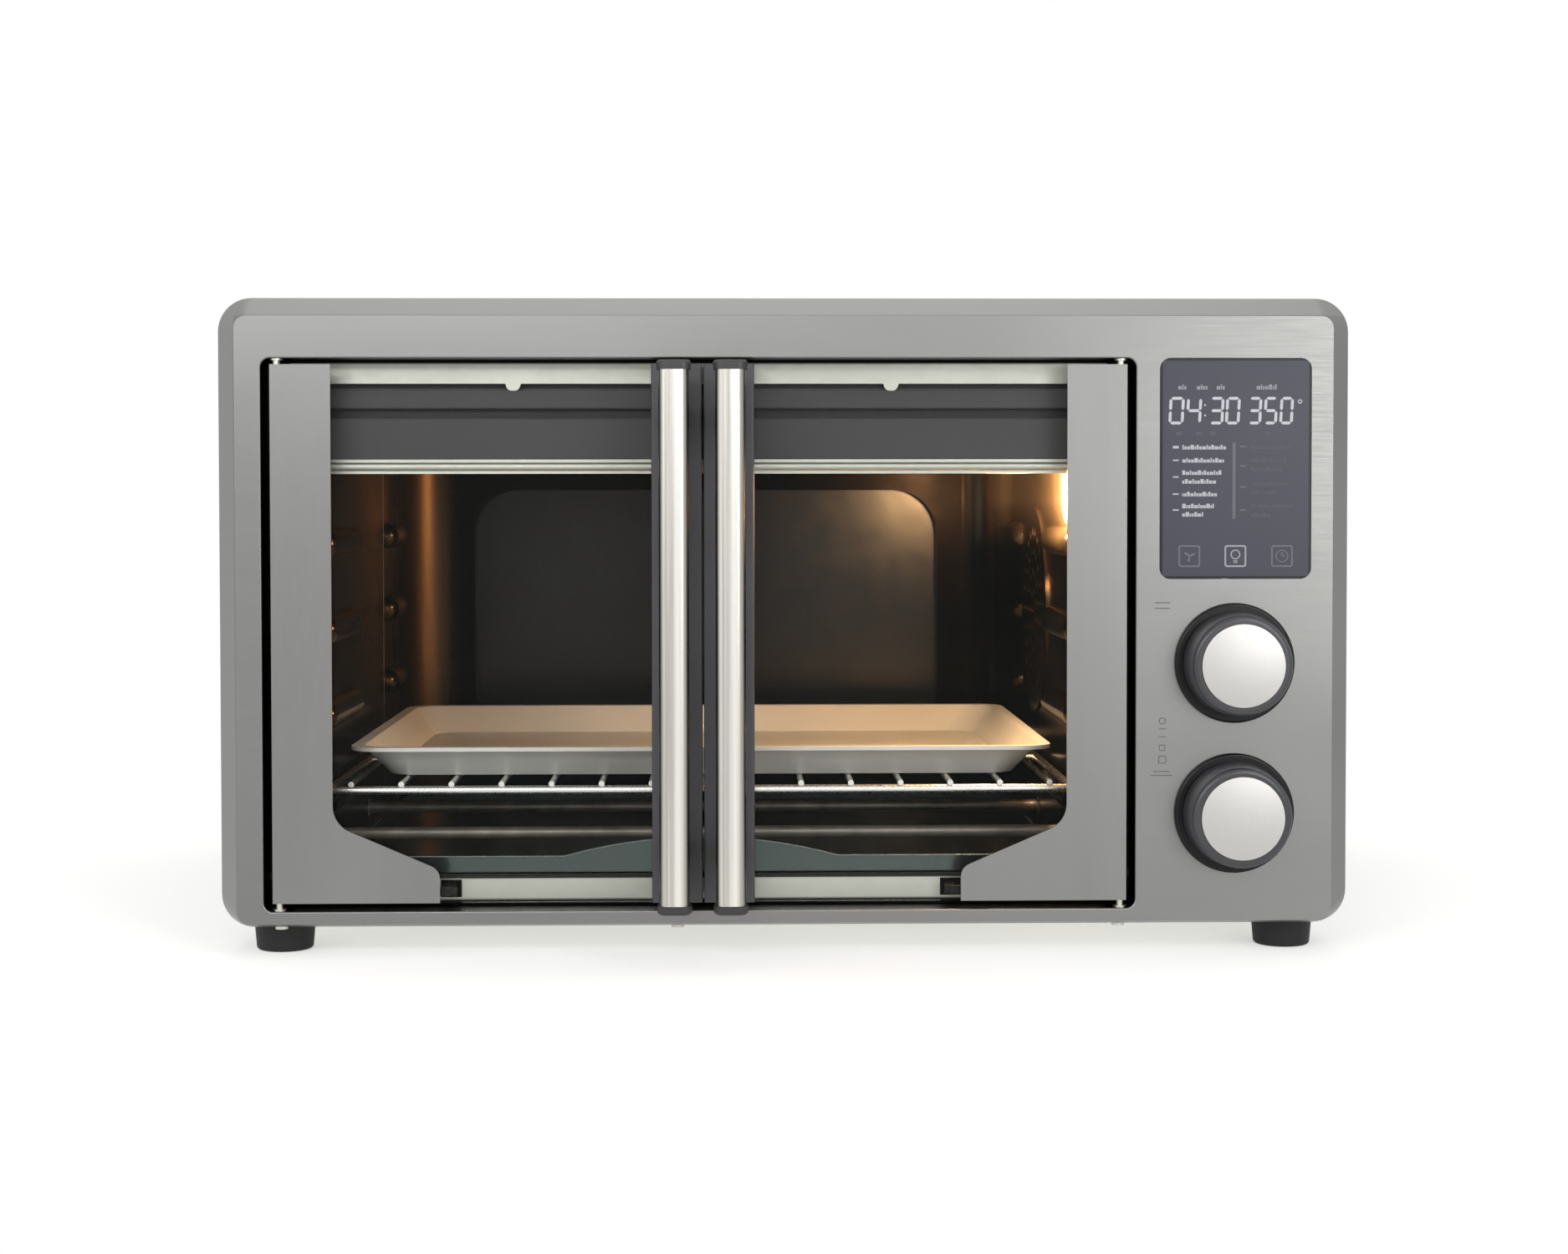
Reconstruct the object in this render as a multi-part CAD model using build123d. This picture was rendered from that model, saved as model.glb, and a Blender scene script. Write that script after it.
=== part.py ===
from build123d import *
import math
import os

# Countertop air fryer oven with two side-hinged glass doors that open together.
# Millimetres. Front towards -Y, up is +Z, origin under the middle of the overall box.

# Body
body_depth = 430.0
foot_height = 15.0
handle_reach = 42.0
rear_cover_depth = 13.0
sheet = 1.2
corner_radius = 17.0
bevel_width = 9.4
bevel_depth = 9.0
lower_bevel = 2.4
face_corner_radius = 6.0
fascia_rim = 6.0
overrun = 1.0

# Feet
foot_top_radius = 15.6
foot_tip_radius = 14.3
foot_edge = 2.0
foot_inset_x = 27.5
foot_inset_y = 34.0

# Door opening in the fascia
opening_left_margin = 22.5
control_panel_width = 109.0
opening_width = 438.5
opening_sill = 8.9
fascia_head = 30.5
opening_height = 277.6
opening_corner_radius = 4.8
opening_lip_radius = 0.8
lip_share = 0.51

# Frame round the cooking space, behind the doors
frame_setback = 20.0
upper_strip = 12.0
header_height = 38.5
crossbar_height = 7.2
crossbar_bead = 2.2
lower_strip = 15.6
mouth_margin = 22.9
tab_radius = 3.8
tab_height = 3.5
tab_shares = (0.258, 0.747)
link_slot_width = 10.6
link_slot_height = 9.0

# Dark header panel above the mouth
header_gap = 3.5
header_upper_band = 9.2
header_groove = 5.5
header_relief = 3.0
header_setback = 3.0

# Cooking space liner
liner_wall = 1.0
liner_depth = 364.0
ceiling_gap = 5.5
rear_pocket_side_margin = 46.35
liner_rear_radius = 30.0
rear_pocket_height = 156.0
rear_pocket_depth = 18.0
rear_pocket_corner = 28.0
rear_pocket_rise = 40.0
rail_radius = 8.0
rail_set_in = 1.0
rail_count = 4
first_rail_rise = 33.2
top_rail_drop = 88.6
rail_front_start = 24.0
rail_front_length = 112.0
rail_rear_end = 30.0
rail_rear_length = 56.0

# Doors
door_side_gap = 4.4
door_top_gap = 3.0
door_bottom_gap = 4.0
door_recess = 0.8
seam_offset = 1.3
seam_gap = 0.8
hinge_inset = 2.6
hinge_setback = 4.5
hinge_pin_radius = 2.0
hinge_pin_grip = 12.0
running_clearance = 0.05
trim_width = 30.2
flare_width = 83.7
flare_end_height = 16.8
flare_start_height = 39.8
flare_tip_radius = 7.0
flare_root_radius = 14.0
pivot_post_width = 7.0
pivot_post_depth = 8.8
glass_thickness = 4.0
glass_post_clearance = 0.6
glass_notch_height = 14.0
glass_notch_clearance = 3.5
stile_width = 25.4
stile_proud = 2.0
stile_depth = 12.0
stile_bite = 10.0
stile_edge = 1.2

# Handles
bar_width = 14.8
bar_depth = 13.0
bar_edge = 4.5
bar_offset = 13.8
bar_end_gap = 0.2
bar_cap_height = 4.6
bar_cap_overlap = 1.0
post_width = 9.0
post_height = 12.0
post_end_distance = 27.0

# Hinge bushes
bush_radius = 3.2
bush_head_radius = 3.5
bush_head = 1.0
bush_tail = 0.5

# Check arms that run through the slots in the lower strip
arm_radius = 86.2
arm_width = 5.0
arm_thickness = 4.0
arm_rise = 2.6
arm_stop_width = 13.0
arm_stop_length = 3.9
arm_stop_clearance = 0.1
arm_foot_length = 11.0
arm_foot_clearance = 0.5

# Linkage that makes both doors open together
gear_module = 1.0
gear_teeth = 16
gear_thickness = 3.2
gear_rise = 3.2
gear_addendum = 0.8
gear_dedendum = 1.2
gear_backlash = 0.25
gear_pressure_angle = 20.0
gear_hub_radius = 3.6
sector_margin_angle = 17.0
door_swing_angle = 90.0
link_side_angle = 90.0
bar_web = 4.0
bar_end_margin = 3.0
jog_offset = 42.0
guide_wall = 1.2
guide_clearance = 0.3
guide_length = 10.0
guide_roof = 0.6
idler_stud_radius = 2.0
tongue_depth = 30.0

# Wire rack
rack_rod_radius = 2.2
cross_rod_radius = 1.5
cross_rod_count = 15
cross_rod_side_gap = 11.6
weld_sink = 0.6
rack_rod_inset = 5.0
rack_front_gap = 11.0
rack_depth = 310.0
rod_overhang = 1.2
rest_clearance = 0.3

# Baking pan
pan_side_gap = 13.3
pan_flare = 18.0
pan_forward = 12.0
pan_rim_depth = 268.0
pan_floor_depth = 230.0
pan_height = 16.0
pan_wall = 1.2
pan_corner_radius = 16.0
pan_rim_lip = 5.0
pan_rim_thickness = 2.0

# Crumb tray
tray_side_gap = 8.35
tray_depth = 340.0
tray_wall = 1.0
tray_front_height = 8.0
tray_side_height = 5.0
tray_front_gap = 3.0
tray_handle_width = 140.0
tray_handle_rise = 8.5
tray_floor_clearance = 0.5

# Heating elements and their ceramic ends
element_radius = 3.2
element_rise = 10.5
element_drop = 13.0
element_front = 82.0
element_rear = 197.0
insulator_radius = 5.0
insulator_length = 9.0
terminal_length = 9.0

# Convection fan on the right wall
fan_distance = 210.0
fan_height_share = 0.487
fan_pocket_radius = 55.0
fan_pocket_depth = 28.0
grille_radius = 60.0
grille_thickness = 1.5
grille_hole_radius = 3.2
grille_ring_counts = (1, 7, 13, 19, 25)
grille_ring_spacing = 11.5
impeller_radius = 47.0
impeller_plate = 1.2
impeller_clearance = 5.0
blade_count = 10
blade_height = 15.0
blade_thickness = 1.0
blade_inner_radius = 22.0
fan_hub_radius = 8.0
fan_shaft_radius = 3.0
fan_shaft_clearance = 0.4
motor_radius = 30.0
motor_length = 34.0
motor_bearing_radius = 11.0
motor_bearing_length = 8.0

# Lamp and temperature probe on the right wall
lamp_distance = 54.0
lamp_drop = 59.5
lamp_hole_radius = 15.0
lamp_flange_radius = 19.0
lamp_flange = 2.5
lamp_glass_wall = 1.6
lamp_socket_radius = 12.0
lamp_socket_length = 28.0
lamp_socket_setback = 12.0
bulb_radius = 7.5
bulb_length = 20.0
probe_radius = 2.2
probe_length = 62.0
probe_tail = 12.0
probe_collar_radius = 6.0
probe_collar = 3.0
probe_distance = 130.0
probe_drop = 32.5

# Display
display_width = 76.5
knob_zone_height = 166.6
display_corner_radius = 5.5
display_offset = -4.2
display_thickness = 2.6
display_proud = 0.3
display_clearance = 0.15
module_depth = 5.0
module_inset = 5.0
board_thickness = 1.6
board_border = 3.0

# Knobs and their encoders
knob_offset = -4.6
upper_knob_rise = 133.0
lower_knob_rise = 57.1
knob_ring_radius = 30.3
knob_ring_height = 3.0
knob_ring_edge = 1.4
knob_ring_bore = 8.0
knob_base_radius = 26.4
knob_front_radius = 24.9
knob_height = 20.0
knob_edge = 2.6
knob_gap = 1.3
knob_press = 0.8
cap_radius = 20.7
cap_height = 1.0
cap_dome = 0.9
shaft_radius = 3.0
shaft_grip = 12.0
encoder_size = 15.0
encoder_depth = 12.0
encoder_neck_radius = 4.5
encoder_end_wall = 1.5

# Power board in the control compartment
power_board_width = 66.0
power_board_depth = 120.0
power_board_rear_distance = 48.0
power_board_side_gap = 18.0
standoff_height = 7.0
standoff_radius = 3.0
standoff_inset = 6.0
power_part_height = 22.0
power_part_share = 0.34

# Screws
screw_head_radius = 3.2
screw_head_height = 1.4
screw_shank_radius = 1.6
screw_seam_offset = 13.3
screw_rear_inset = 9.0

# Rear cover, cord gland and air slots
spacer_left_margin = 45.0
spacer_right_margin = 145.0
spacer_height = 210.0
spacer_corner_radius = 12.0
gland_side_distance = 73.0
gland_rise = 42.0
gland_flange_radius = 12.0
gland_flange = 3.0
gland_boss_radius = 8.0
gland_boss = 11.5
gland_bore_radius = 3.8
slot_width = 3.2
slot_length = 30.0
slot_pitch_long = 38.0
slot_pitch_short = 9.0
side_slot_rows = 12
side_slot_columns = 3
side_slot_rise = 100.0
side_slot_distance = 250.0
rear_slot_rows = 9
rear_slot_rise = 120.0
spacer_slot_rows = 8
spacer_slot_columns = 8

# Worked out from the values above
body_width = opening_left_margin + opening_width + control_panel_width
body_height = opening_sill + opening_height + fascia_head
total_depth = handle_reach + body_depth + rear_cover_depth
front_y = handle_reach - total_depth / 2
back_y = front_y + body_depth
bottom_z = foot_height
top_z = bottom_z + body_height
side_x = body_width / 2
middle_z = bottom_z + body_height / 2
rim_start_y = front_y + bevel_depth
wrap_start_y = rim_start_y + fascia_rim

opening_left = opening_left_margin - side_x
opening_right = opening_left + opening_width
opening_centre = (opening_left + opening_right) / 2
opening_bottom = bottom_z + opening_sill
opening_top = opening_bottom + opening_height
opening_middle = (opening_bottom + opening_top) / 2
control_centre = (opening_right + side_x) / 2
display_centre_x = control_centre + display_offset
display_height = opening_height - knob_zone_height
display_centre_z = opening_top - display_height / 2
knob_x = control_centre + knob_offset
gland_x = side_x - gland_side_distance

frame_y = front_y + frame_setback
frame_back_y = frame_y + sheet
mouth_left = opening_left + mouth_margin
mouth_right = opening_right - mouth_margin
mouth_bottom = opening_bottom + lower_strip
header_top = opening_top - upper_strip
header_bottom = header_top - header_height
mouth_top = header_bottom - crossbar_height
liner_back_y = frame_back_y + liner_depth
ceiling_z = opening_top - ceiling_gap

door_front_y = front_y + door_recess
door_bottom = opening_bottom + door_bottom_gap
door_top = opening_top - door_top_gap
door_height = door_top - door_bottom
seam_x = opening_centre + seam_offset
hinge_y = door_front_y + hinge_setback
glass_front_y = door_front_y + sheet
glass_back_y = glass_front_y + glass_thickness

gear_pitch_radius = gear_module * gear_teeth / 2
tooth_pitch = math.pi * gear_module
gear_bottom = bottom_z + gear_rise
gear_top = gear_bottom + gear_thickness
rack_pitch_y = hinge_y + gear_pitch_radius
rack_root_y = rack_pitch_y + gear_dedendum
rack_rear_y = rack_root_y + bar_web
idler_y = rack_rear_y + gear_dedendum + gear_pitch_radius
far_pitch_y = idler_y + gear_pitch_radius
far_root_y = far_pitch_y + gear_dedendum
rack_travel = gear_pitch_radius * math.radians(door_swing_angle)
tongue_top = bottom_z + sheet + sheet

rail_z = mouth_bottom + first_rail_rise
rail_pitch = (ceiling_z - top_rail_drop - rail_z) / (rail_count - 1)
rod_reach = rail_radius + rack_rod_radius + rest_clearance
rod_lift = math.sqrt(rod_reach ** 2 - (rack_rod_inset + rail_set_in) ** 2)
rack_z = rail_z + rod_lift
cross_rod_z = rack_z + rack_rod_radius + cross_rod_radius - weld_sink
pan_bottom = cross_rod_z + cross_rod_radius + rest_clearance
rack_front_y = frame_back_y + rack_front_gap
rack_width = mouth_right - mouth_left - 2 * rack_rod_inset
cross_rod_spacing = (rack_width - 2 * cross_rod_side_gap) / (cross_rod_count - 1)
pan_rim_width = mouth_right - mouth_left - 2 * pan_side_gap
pan_floor_width = pan_rim_width - 2 * pan_flare
tray_width = mouth_right - mouth_left - 2 * tray_side_gap
rear_pocket_width = mouth_right - mouth_left - 2 * rear_pocket_side_margin

arm_bottom = door_bottom + arm_rise
arm_top = arm_bottom + arm_thickness
arm_foot_front = glass_back_y + arm_foot_clearance - hinge_y
arm_foot_back = arm_foot_front + arm_width
arm_start_angle = math.degrees(math.asin((arm_foot_front + arm_foot_back) / 2 / arm_radius))
stop_reach = frame_back_y + arm_stop_clearance - hinge_y
stop_lead_angle = math.degrees(math.asin(stop_reach / (arm_radius - arm_stop_width / 2)))
arm_stop_angle = math.degrees(arm_stop_length / arm_radius)
arm_end_angle = door_swing_angle + stop_lead_angle + arm_stop_angle
element_z = mouth_bottom + element_rise
upper_element_z = ceiling_z - element_drop
fan_y = frame_back_y + fan_distance
fan_z = mouth_bottom + fan_height_share * (ceiling_z - mouth_bottom)
pocket_end_x = mouth_right + fan_pocket_depth
lamp_y = frame_back_y + lamp_distance
lamp_z = ceiling_z - lamp_drop
probe_y = frame_back_y + probe_distance
probe_z = ceiling_z - probe_drop


def block(x0, x1, y0, y1, z0, z1):
    """Box between two limits on each axis, given in either order."""
    box = Box(abs(x1 - x0), abs(y1 - y0), abs(z1 - z0))
    return Pos((x0 + x1) / 2, (y0 + y1) / 2, (z0 + z1) / 2) * box


def rod_x(radius, x0, x1, y, z):
    """Round bar along X."""
    return Pos((x0 + x1) / 2, y, z) * Rot(0, 90, 0) * Cylinder(radius, abs(x1 - x0))


def rod_y(radius, x, y0, y1, z):
    """Round bar along Y."""
    return Pos(x, (y0 + y1) / 2, z) * Rot(90, 0, 0) * Cylinder(radius, abs(y1 - y0))


def rod_z(radius, x, y, z0, z1):
    """Round bar along Z."""
    return Pos(x, y, (z0 + z1) / 2) * Cylinder(radius, abs(z1 - z0))


def face_on(sketch, y):
    """Sketch drawn in X and Z, set upright at one depth."""
    return Plane(origin=(0, y, 0), x_dir=(1, 0, 0), z_dir=(0, -1, 0)) * sketch


def front_prism(sketch, y0, y1):
    """Sketch in X and Z, given thickness from one depth to another."""
    return extrude(face_on(sketch, y0), amount=y1 - y0, dir=(0, 1, 0))


def flat_prism(sketch, z0, z1):
    """Sketch in X and Y, given thickness from one height to another."""
    return extrude(Plane(origin=(0, 0, z0)) * sketch, amount=z1 - z0)


def rounded(x0, x1, z0, z1, radius):
    """Rounded rectangle between two limits on each axis."""
    return Pos((x0 + x1) / 2, (z0 + z1) / 2) * RectangleRounded(abs(x1 - x0), abs(z1 - z0), radius)


def outline(points):
    """Closed flat face through the given points."""
    return make_face(Polyline(*points, close=True))


def round_corner(face, x, y, radius):
    """Round the one corner of a flat face that lies at the given place."""
    corner = min(face.vertices(), key=lambda v: (v.X - x) ** 2 + (v.Y - y) ** 2)
    return fillet(corner, radius)


def body_profile(inset):
    """Outline of the body seen from the front, drawn in by an even amount."""
    x = side_x - inset
    return rounded(-x, x, bottom_z + inset, top_z - inset, corner_radius - inset)


def hinge_places():
    """Hinge line of each door with the direction in which the door reaches."""
    left = opening_left + door_side_gap + hinge_inset
    right = opening_right - door_side_gap - hinge_inset
    return {"left": (left, 1), "right": (right, -1)}


def knob_heights():
    """Height of each knob's axis."""
    return {"upper": bottom_z + upper_knob_rise, "lower": bottom_z + lower_knob_rise}


def screw_places_rear():
    """Places of the rear cover's screws, in X and Z."""
    x = side_x - screw_rear_inset
    low = bottom_z + screw_rear_inset
    high = top_z - screw_rear_inset
    return [(-x, low), (x, low), (-x, high), (x, high), (0, high), (0, low), (-x, middle_z), (x, middle_z)]


def fascia():
    """Pressed front panel with bevelled edges and a flange into the door opening."""
    front = body_profile(0)
    face_x = side_x - bevel_width
    inner_x = face_x - sheet / 2
    face = rounded(-face_x, face_x, bottom_z + lower_bevel, top_z - bevel_width, face_corner_radius)
    hollow = rounded(-inner_x, inner_x, bottom_z + lower_bevel + sheet / 2, top_z - bevel_width - sheet / 2,
                     face_corner_radius - sheet / 2)
    shell = loft([face_on(face, front_y).face(), face_on(front, rim_start_y).face()])
    shell += front_prism(front, rim_start_y, wrap_start_y)
    inside = loft([face_on(hollow, front_y + sheet).face(), face_on(body_profile(sheet), rim_start_y + sheet).face()])
    inside += front_prism(body_profile(sheet), rim_start_y + sheet, wrap_start_y + overrun)
    shell -= inside
    hole = rounded(opening_left, opening_right, opening_bottom, opening_top, opening_corner_radius)
    collar = rounded(opening_left - sheet, opening_right + sheet, opening_bottom - sheet, opening_top + sheet,
                     opening_corner_radius + sheet)
    shell += front_prism(collar, front_y + sheet / 2, frame_y)
    shell -= front_prism(hole, front_y - overrun, frame_y + overrun)
    lip = [edge for edge in shell.edges().group_by(Axis.Y)[0]
           if abs(edge.center().X - opening_centre) < opening_width * lip_share
           and abs(edge.center().Z - opening_middle) < opening_height * lip_share]
    shell = fillet(lip, opening_lip_radius)
    window = rounded(display_centre_x - display_width / 2 - display_clearance,
                     display_centre_x + display_width / 2 + display_clearance,
                     display_centre_z - display_height / 2 - display_clearance,
                     display_centre_z + display_height / 2 + display_clearance,
                     display_corner_radius + display_clearance)
    shell -= front_prism(window, front_y - overrun, front_y + sheet + overrun)
    for height in knob_heights().values():
        shell -= rod_y(encoder_neck_radius, knob_x, front_y - overrun, front_y + sheet + overrun, height)
    for hinge_x, _ in hinge_places().values():
        shell -= rod_z(bush_radius, hinge_x, hinge_y, opening_bottom - sheet - overrun, opening_bottom + overrun)
        shell -= rod_z(bush_radius, hinge_x, hinge_y, opening_top - overrun, opening_top + sheet + overrun)
        shell -= rod_z(bush_head_radius, hinge_x, hinge_y, opening_bottom, opening_bottom + bush_head)
        shell -= rod_z(bush_head_radius, hinge_x, hinge_y, opening_top - bush_head, opening_top)
    for x in base_screw_xs():
        shell -= rod_z(screw_shank_radius, x, base_screw_y(), bottom_z - overrun, bottom_z + sheet + overrun)
    return shell


def base_screw_xs():
    """Places along X of the screws under the front edge: one at each hinge line and one near the seam."""
    left, right = (place[0] for place in hinge_places().values())
    return [left, seam_x - screw_seam_offset, right]


def base_screw_y():
    """Depth of the screws under the front edge."""
    return rim_start_y + fascia_rim / 2


def side_slots(x0, x1):
    """Cutters for a field of air slots in a side wall."""
    cutters = []
    for row in range(side_slot_rows):
        for column in range(side_slot_columns):
            y = front_y + side_slot_distance + column * slot_pitch_long
            z = bottom_z + side_slot_rise + row * slot_pitch_short
            cutters.append(Pos((x0 + x1) / 2, y, z) * Box(abs(x1 - x0), slot_length, slot_width))
    return cutters


def outer_wrap():
    """One folded sheet over both sides and the top, with the lower corners turned in."""
    wrap = front_prism(body_profile(0), wrap_start_y, back_y)
    wrap -= front_prism(body_profile(sheet), wrap_start_y - overrun, back_y + overrun)
    flat_x = side_x - corner_radius
    wrap -= block(-flat_x, flat_x, wrap_start_y - overrun, back_y + overrun, bottom_z - overrun,
                  bottom_z + corner_radius / 2)
    wrap -= side_slots(side_x - sheet - overrun, side_x + overrun)
    wrap -= side_slots(-side_x + sheet + overrun, -side_x - overrun)
    return wrap


def base_plate():
    """Bottom sheet with a raised tongue over the fascia's lower rim and the idler's stud."""
    flat_x = side_x - corner_radius
    plate = block(-flat_x, flat_x, wrap_start_y, back_y, bottom_z, bottom_z + sheet)
    plate += block(-flat_x, flat_x, rim_start_y + sheet, rim_start_y + tongue_depth, bottom_z + sheet, tongue_top)
    plate += rod_z(idler_stud_radius, opening_centre, idler_y, tongue_top, gear_top + running_clearance)
    for x in base_screw_xs():
        plate -= rod_z(screw_shank_radius, x, base_screw_y(), bottom_z - overrun, tongue_top + overrun)
    return plate


def rear_cover():
    """Back panel with a raised box that keeps the oven off the wall."""
    cover = front_prism(body_profile(0), back_y, back_y + sheet)
    left = spacer_left_margin - side_x
    right = side_x - spacer_right_margin
    low = middle_z - spacer_height / 2
    high = middle_z + spacer_height / 2
    end_y = back_y + rear_cover_depth
    cover += front_prism(rounded(left, right, low, high, spacer_corner_radius), back_y + sheet / 2, end_y)
    cover -= front_prism(rounded(left + sheet, right - sheet, low + sheet, high - sheet, spacer_corner_radius - sheet),
                         back_y - overrun, end_y - sheet)
    cutters = []
    for row in range(rear_slot_rows):
        z = bottom_z + rear_slot_rise + row * slot_pitch_short
        x = (right + side_x) / 2
        cutters.append(Pos(x, back_y, z) * Box(slot_length, sheet * 4, slot_width))
    for row in range(spacer_slot_rows):
        for column in range(spacer_slot_columns):
            x = (left + right) / 2 + (column - (spacer_slot_columns - 1) / 2) * slot_pitch_long
            z = middle_z + (row - (spacer_slot_rows - 1) / 2) * slot_pitch_short
            cutters.append(Pos(x, end_y, z) * Box(slot_length, sheet * 4, slot_width))
    for x, z in screw_places_rear():
        cutters.append(rod_y(screw_shank_radius, x, back_y - overrun, back_y + sheet + overrun, z))
    cutters.append(rod_y(gland_boss_radius, gland_x, back_y - overrun, back_y + sheet + overrun,
                         bottom_z + gland_rise))
    return cover - cutters


def cord_gland():
    """Grommet where the cord would enter, with its bore open."""
    z = bottom_z + gland_rise
    gland = rod_y(gland_boss_radius, gland_x, back_y - gland_flange, back_y + sheet + gland_boss, z)
    gland += rod_y(gland_flange_radius, gland_x, back_y + sheet, back_y + sheet + gland_flange, z)
    gland += rod_y(gland_flange_radius, gland_x, back_y - gland_flange, back_y, z)
    return gland - rod_y(gland_bore_radius, gland_x, back_y - body_depth, back_y + body_depth, z)


def foot(side, end):
    """Tapered rubber foot with a rounded tip."""
    x = side * (side_x - foot_inset_x)
    y = front_y + foot_inset_y if end < 0 else back_y - foot_inset_y
    shape = Pos(x, y, foot_height / 2) * Cone(foot_tip_radius, foot_top_radius, foot_height)
    tip = shape.edges().group_by(Axis.Z)[0]
    return fillet(tip, foot_edge)


def front_frame():
    """Bright steel frame behind the doors, with the mouth, the header window and two link slots."""
    left = opening_left - sheet
    right = opening_right + sheet
    plate = front_prism(rounded(left, right, opening_bottom - sheet, opening_top + sheet,
                                opening_corner_radius + sheet), frame_y, frame_back_y)
    plate -= block(mouth_left, mouth_right, frame_y - overrun, frame_back_y + overrun, mouth_bottom, mouth_top)
    plate -= block(mouth_left, mouth_right, frame_y - overrun, frame_back_y + overrun, header_bottom, header_top)
    bead_z = (mouth_top + header_bottom) / 2
    bead = rod_x(crossbar_bead, mouth_left, mouth_right, frame_y, bead_z)
    bead -= block(mouth_left - overrun, mouth_right + overrun, frame_y + sheet / 2,
                  frame_y + crossbar_bead + overrun, mouth_top, header_bottom)
    plate += bead
    for share in tab_shares:
        x = mouth_left + share * (mouth_right - mouth_left)
        tab = rod_y(tab_radius, x, frame_y, frame_back_y, header_top)
        tab -= block(x - tab_radius - overrun, x + tab_radius + overrun, frame_y - overrun, frame_back_y + overrun,
                     header_top - tab_radius - overrun, header_top - tab_height)
        plate += tab
    for hinge_x, reach in hinge_places().values():
        x = hinge_x + reach * slot_reach()
        plate -= block(x - link_slot_width / 2, x + link_slot_width / 2, frame_y - overrun, frame_back_y + overrun,
                       door_bottom, door_bottom + link_slot_height)
    return plate


def slot_reach():
    """Distance along X from a hinge line to where its check arm passes the front frame."""
    return math.sqrt(arm_radius ** 2 - (frame_y + sheet / 2 - hinge_y) ** 2)


def header_panel():
    """Dark panel that closes the space above the mouth, with a groove along it."""
    y0 = frame_back_y
    y1 = y0 + header_setback + header_relief
    panel = block(mouth_left - liner_wall, mouth_right + liner_wall, y0, y1, mouth_top, ceiling_z + liner_wall)
    inner_top = header_top - header_gap
    panel -= block(mouth_left, mouth_right, y0 - overrun, y1 - sheet, inner_top, ceiling_z)
    groove_top = inner_top - header_upper_band
    panel -= block(mouth_left, mouth_right, y0 - overrun, y1 - sheet, groove_top - header_groove, groove_top)
    panel -= block(mouth_left, mouth_right, y0 + header_setback, y1 + overrun, mouth_top - overrun,
                   groove_top - header_groove - sheet)
    return panel


def rails():
    """Long rounded ledges pressed into both side walls, in pairs of front and rear lengths."""
    shapes = []
    for wall_x, inward in ((mouth_left, 1), (mouth_right, -1)):
        for level in range(rail_count):
            z = rail_z + level * rail_pitch
            x = wall_x - inward * rail_set_in
            front_start = frame_back_y + rail_front_start
            rear_end = liner_back_y - rail_rear_end
            for y0, length in ((front_start, rail_front_length), (rear_end - rail_rear_length, rail_rear_length)):
                y1 = y0 + length
                ledge = rod_y(rail_radius, x, y0 + rail_radius, y1 - rail_radius, z)
                ledge += Pos(x, y0 + rail_radius, z) * Sphere(rail_radius)
                ledge += Pos(x, y1 - rail_radius, z) * Sphere(rail_radius)
                behind = x - inward * (rail_radius + overrun)
                face = wall_x - inward * liner_wall / 2
                ledge -= block(behind, face, y0 - overrun, y1 + overrun, z - rail_radius - overrun,
                               z + rail_radius + overrun)
                shapes.append(ledge)
    return shapes


def liner_box(grow, front, z0, z1):
    """Box of the cooking space with rounded upright rear corners, larger by an even amount."""
    x0, x1, rear = mouth_left - grow, mouth_right + grow, liner_back_y + grow
    floor = outline([(x0, front), (x1, front), (x1, rear), (x0, rear)])
    for x in (x0, x1):
        floor = round_corner(floor, x, rear, liner_rear_radius + grow)
    return flat_prism(floor, z0, z1)


def cavity_liner():
    """Dark enamelled box open to the front, with ledges, a rear pocket and the fan pocket."""
    outer = liner_box(liner_wall, frame_back_y, mouth_bottom - liner_wall, ceiling_z + liner_wall)
    pocket_low = mouth_bottom + rear_pocket_rise
    centre = opening_centre
    half = rear_pocket_width / 2
    pocket_end = liner_back_y + rear_pocket_depth
    outer += front_prism(rounded(centre - half - liner_wall, centre + half + liner_wall, pocket_low - liner_wall,
                                 pocket_low + rear_pocket_height + liner_wall, rear_pocket_corner + liner_wall),
                         liner_back_y, pocket_end + liner_wall)
    outer += rod_x(fan_pocket_radius + liner_wall, mouth_right, pocket_end_x + liner_wall, fan_y, fan_z)
    inner = liner_box(0, frame_back_y - overrun, mouth_bottom, ceiling_z)
    inner += front_prism(rounded(centre - half, centre + half, pocket_low, pocket_low + rear_pocket_height,
                                 rear_pocket_corner), liner_back_y - overrun, pocket_end)
    inner += rod_x(fan_pocket_radius, mouth_right - overrun, pocket_end_x, fan_y, fan_z)
    liner = outer - inner
    header_y = frame_back_y + header_setback + header_relief
    liner -= block(mouth_left - liner_wall - overrun, mouth_right + liner_wall + overrun, frame_back_y - overrun,
                   header_y, mouth_top, ceiling_z + liner_wall + overrun)
    liner += rails()
    holes = [rod_x(fan_shaft_radius + fan_shaft_clearance, pocket_end_x - overrun, pocket_end_x + liner_wall + overrun,
                   fan_y, fan_z)]
    holes.append(rod_x(lamp_hole_radius, mouth_right - overrun, mouth_right + liner_wall + overrun, lamp_y, lamp_z))
    holes.append(rod_x(probe_radius, mouth_right - overrun, mouth_right + liner_wall + overrun, probe_y, probe_z))
    for wall_x, outward in ((mouth_left, -1), (mouth_right, 1)):
        for y, z in element_places():
            holes.append(rod_x(insulator_radius, wall_x - outward * overrun, wall_x + outward * (liner_wall + overrun),
                               y, z))
    return liner - holes


def element_places():
    """Depth and height of each heating element."""
    front = frame_back_y + element_front
    rear = frame_back_y + element_rear
    return [(front, element_z), (rear, element_z), (front, upper_element_z), (rear, upper_element_z)]


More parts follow.
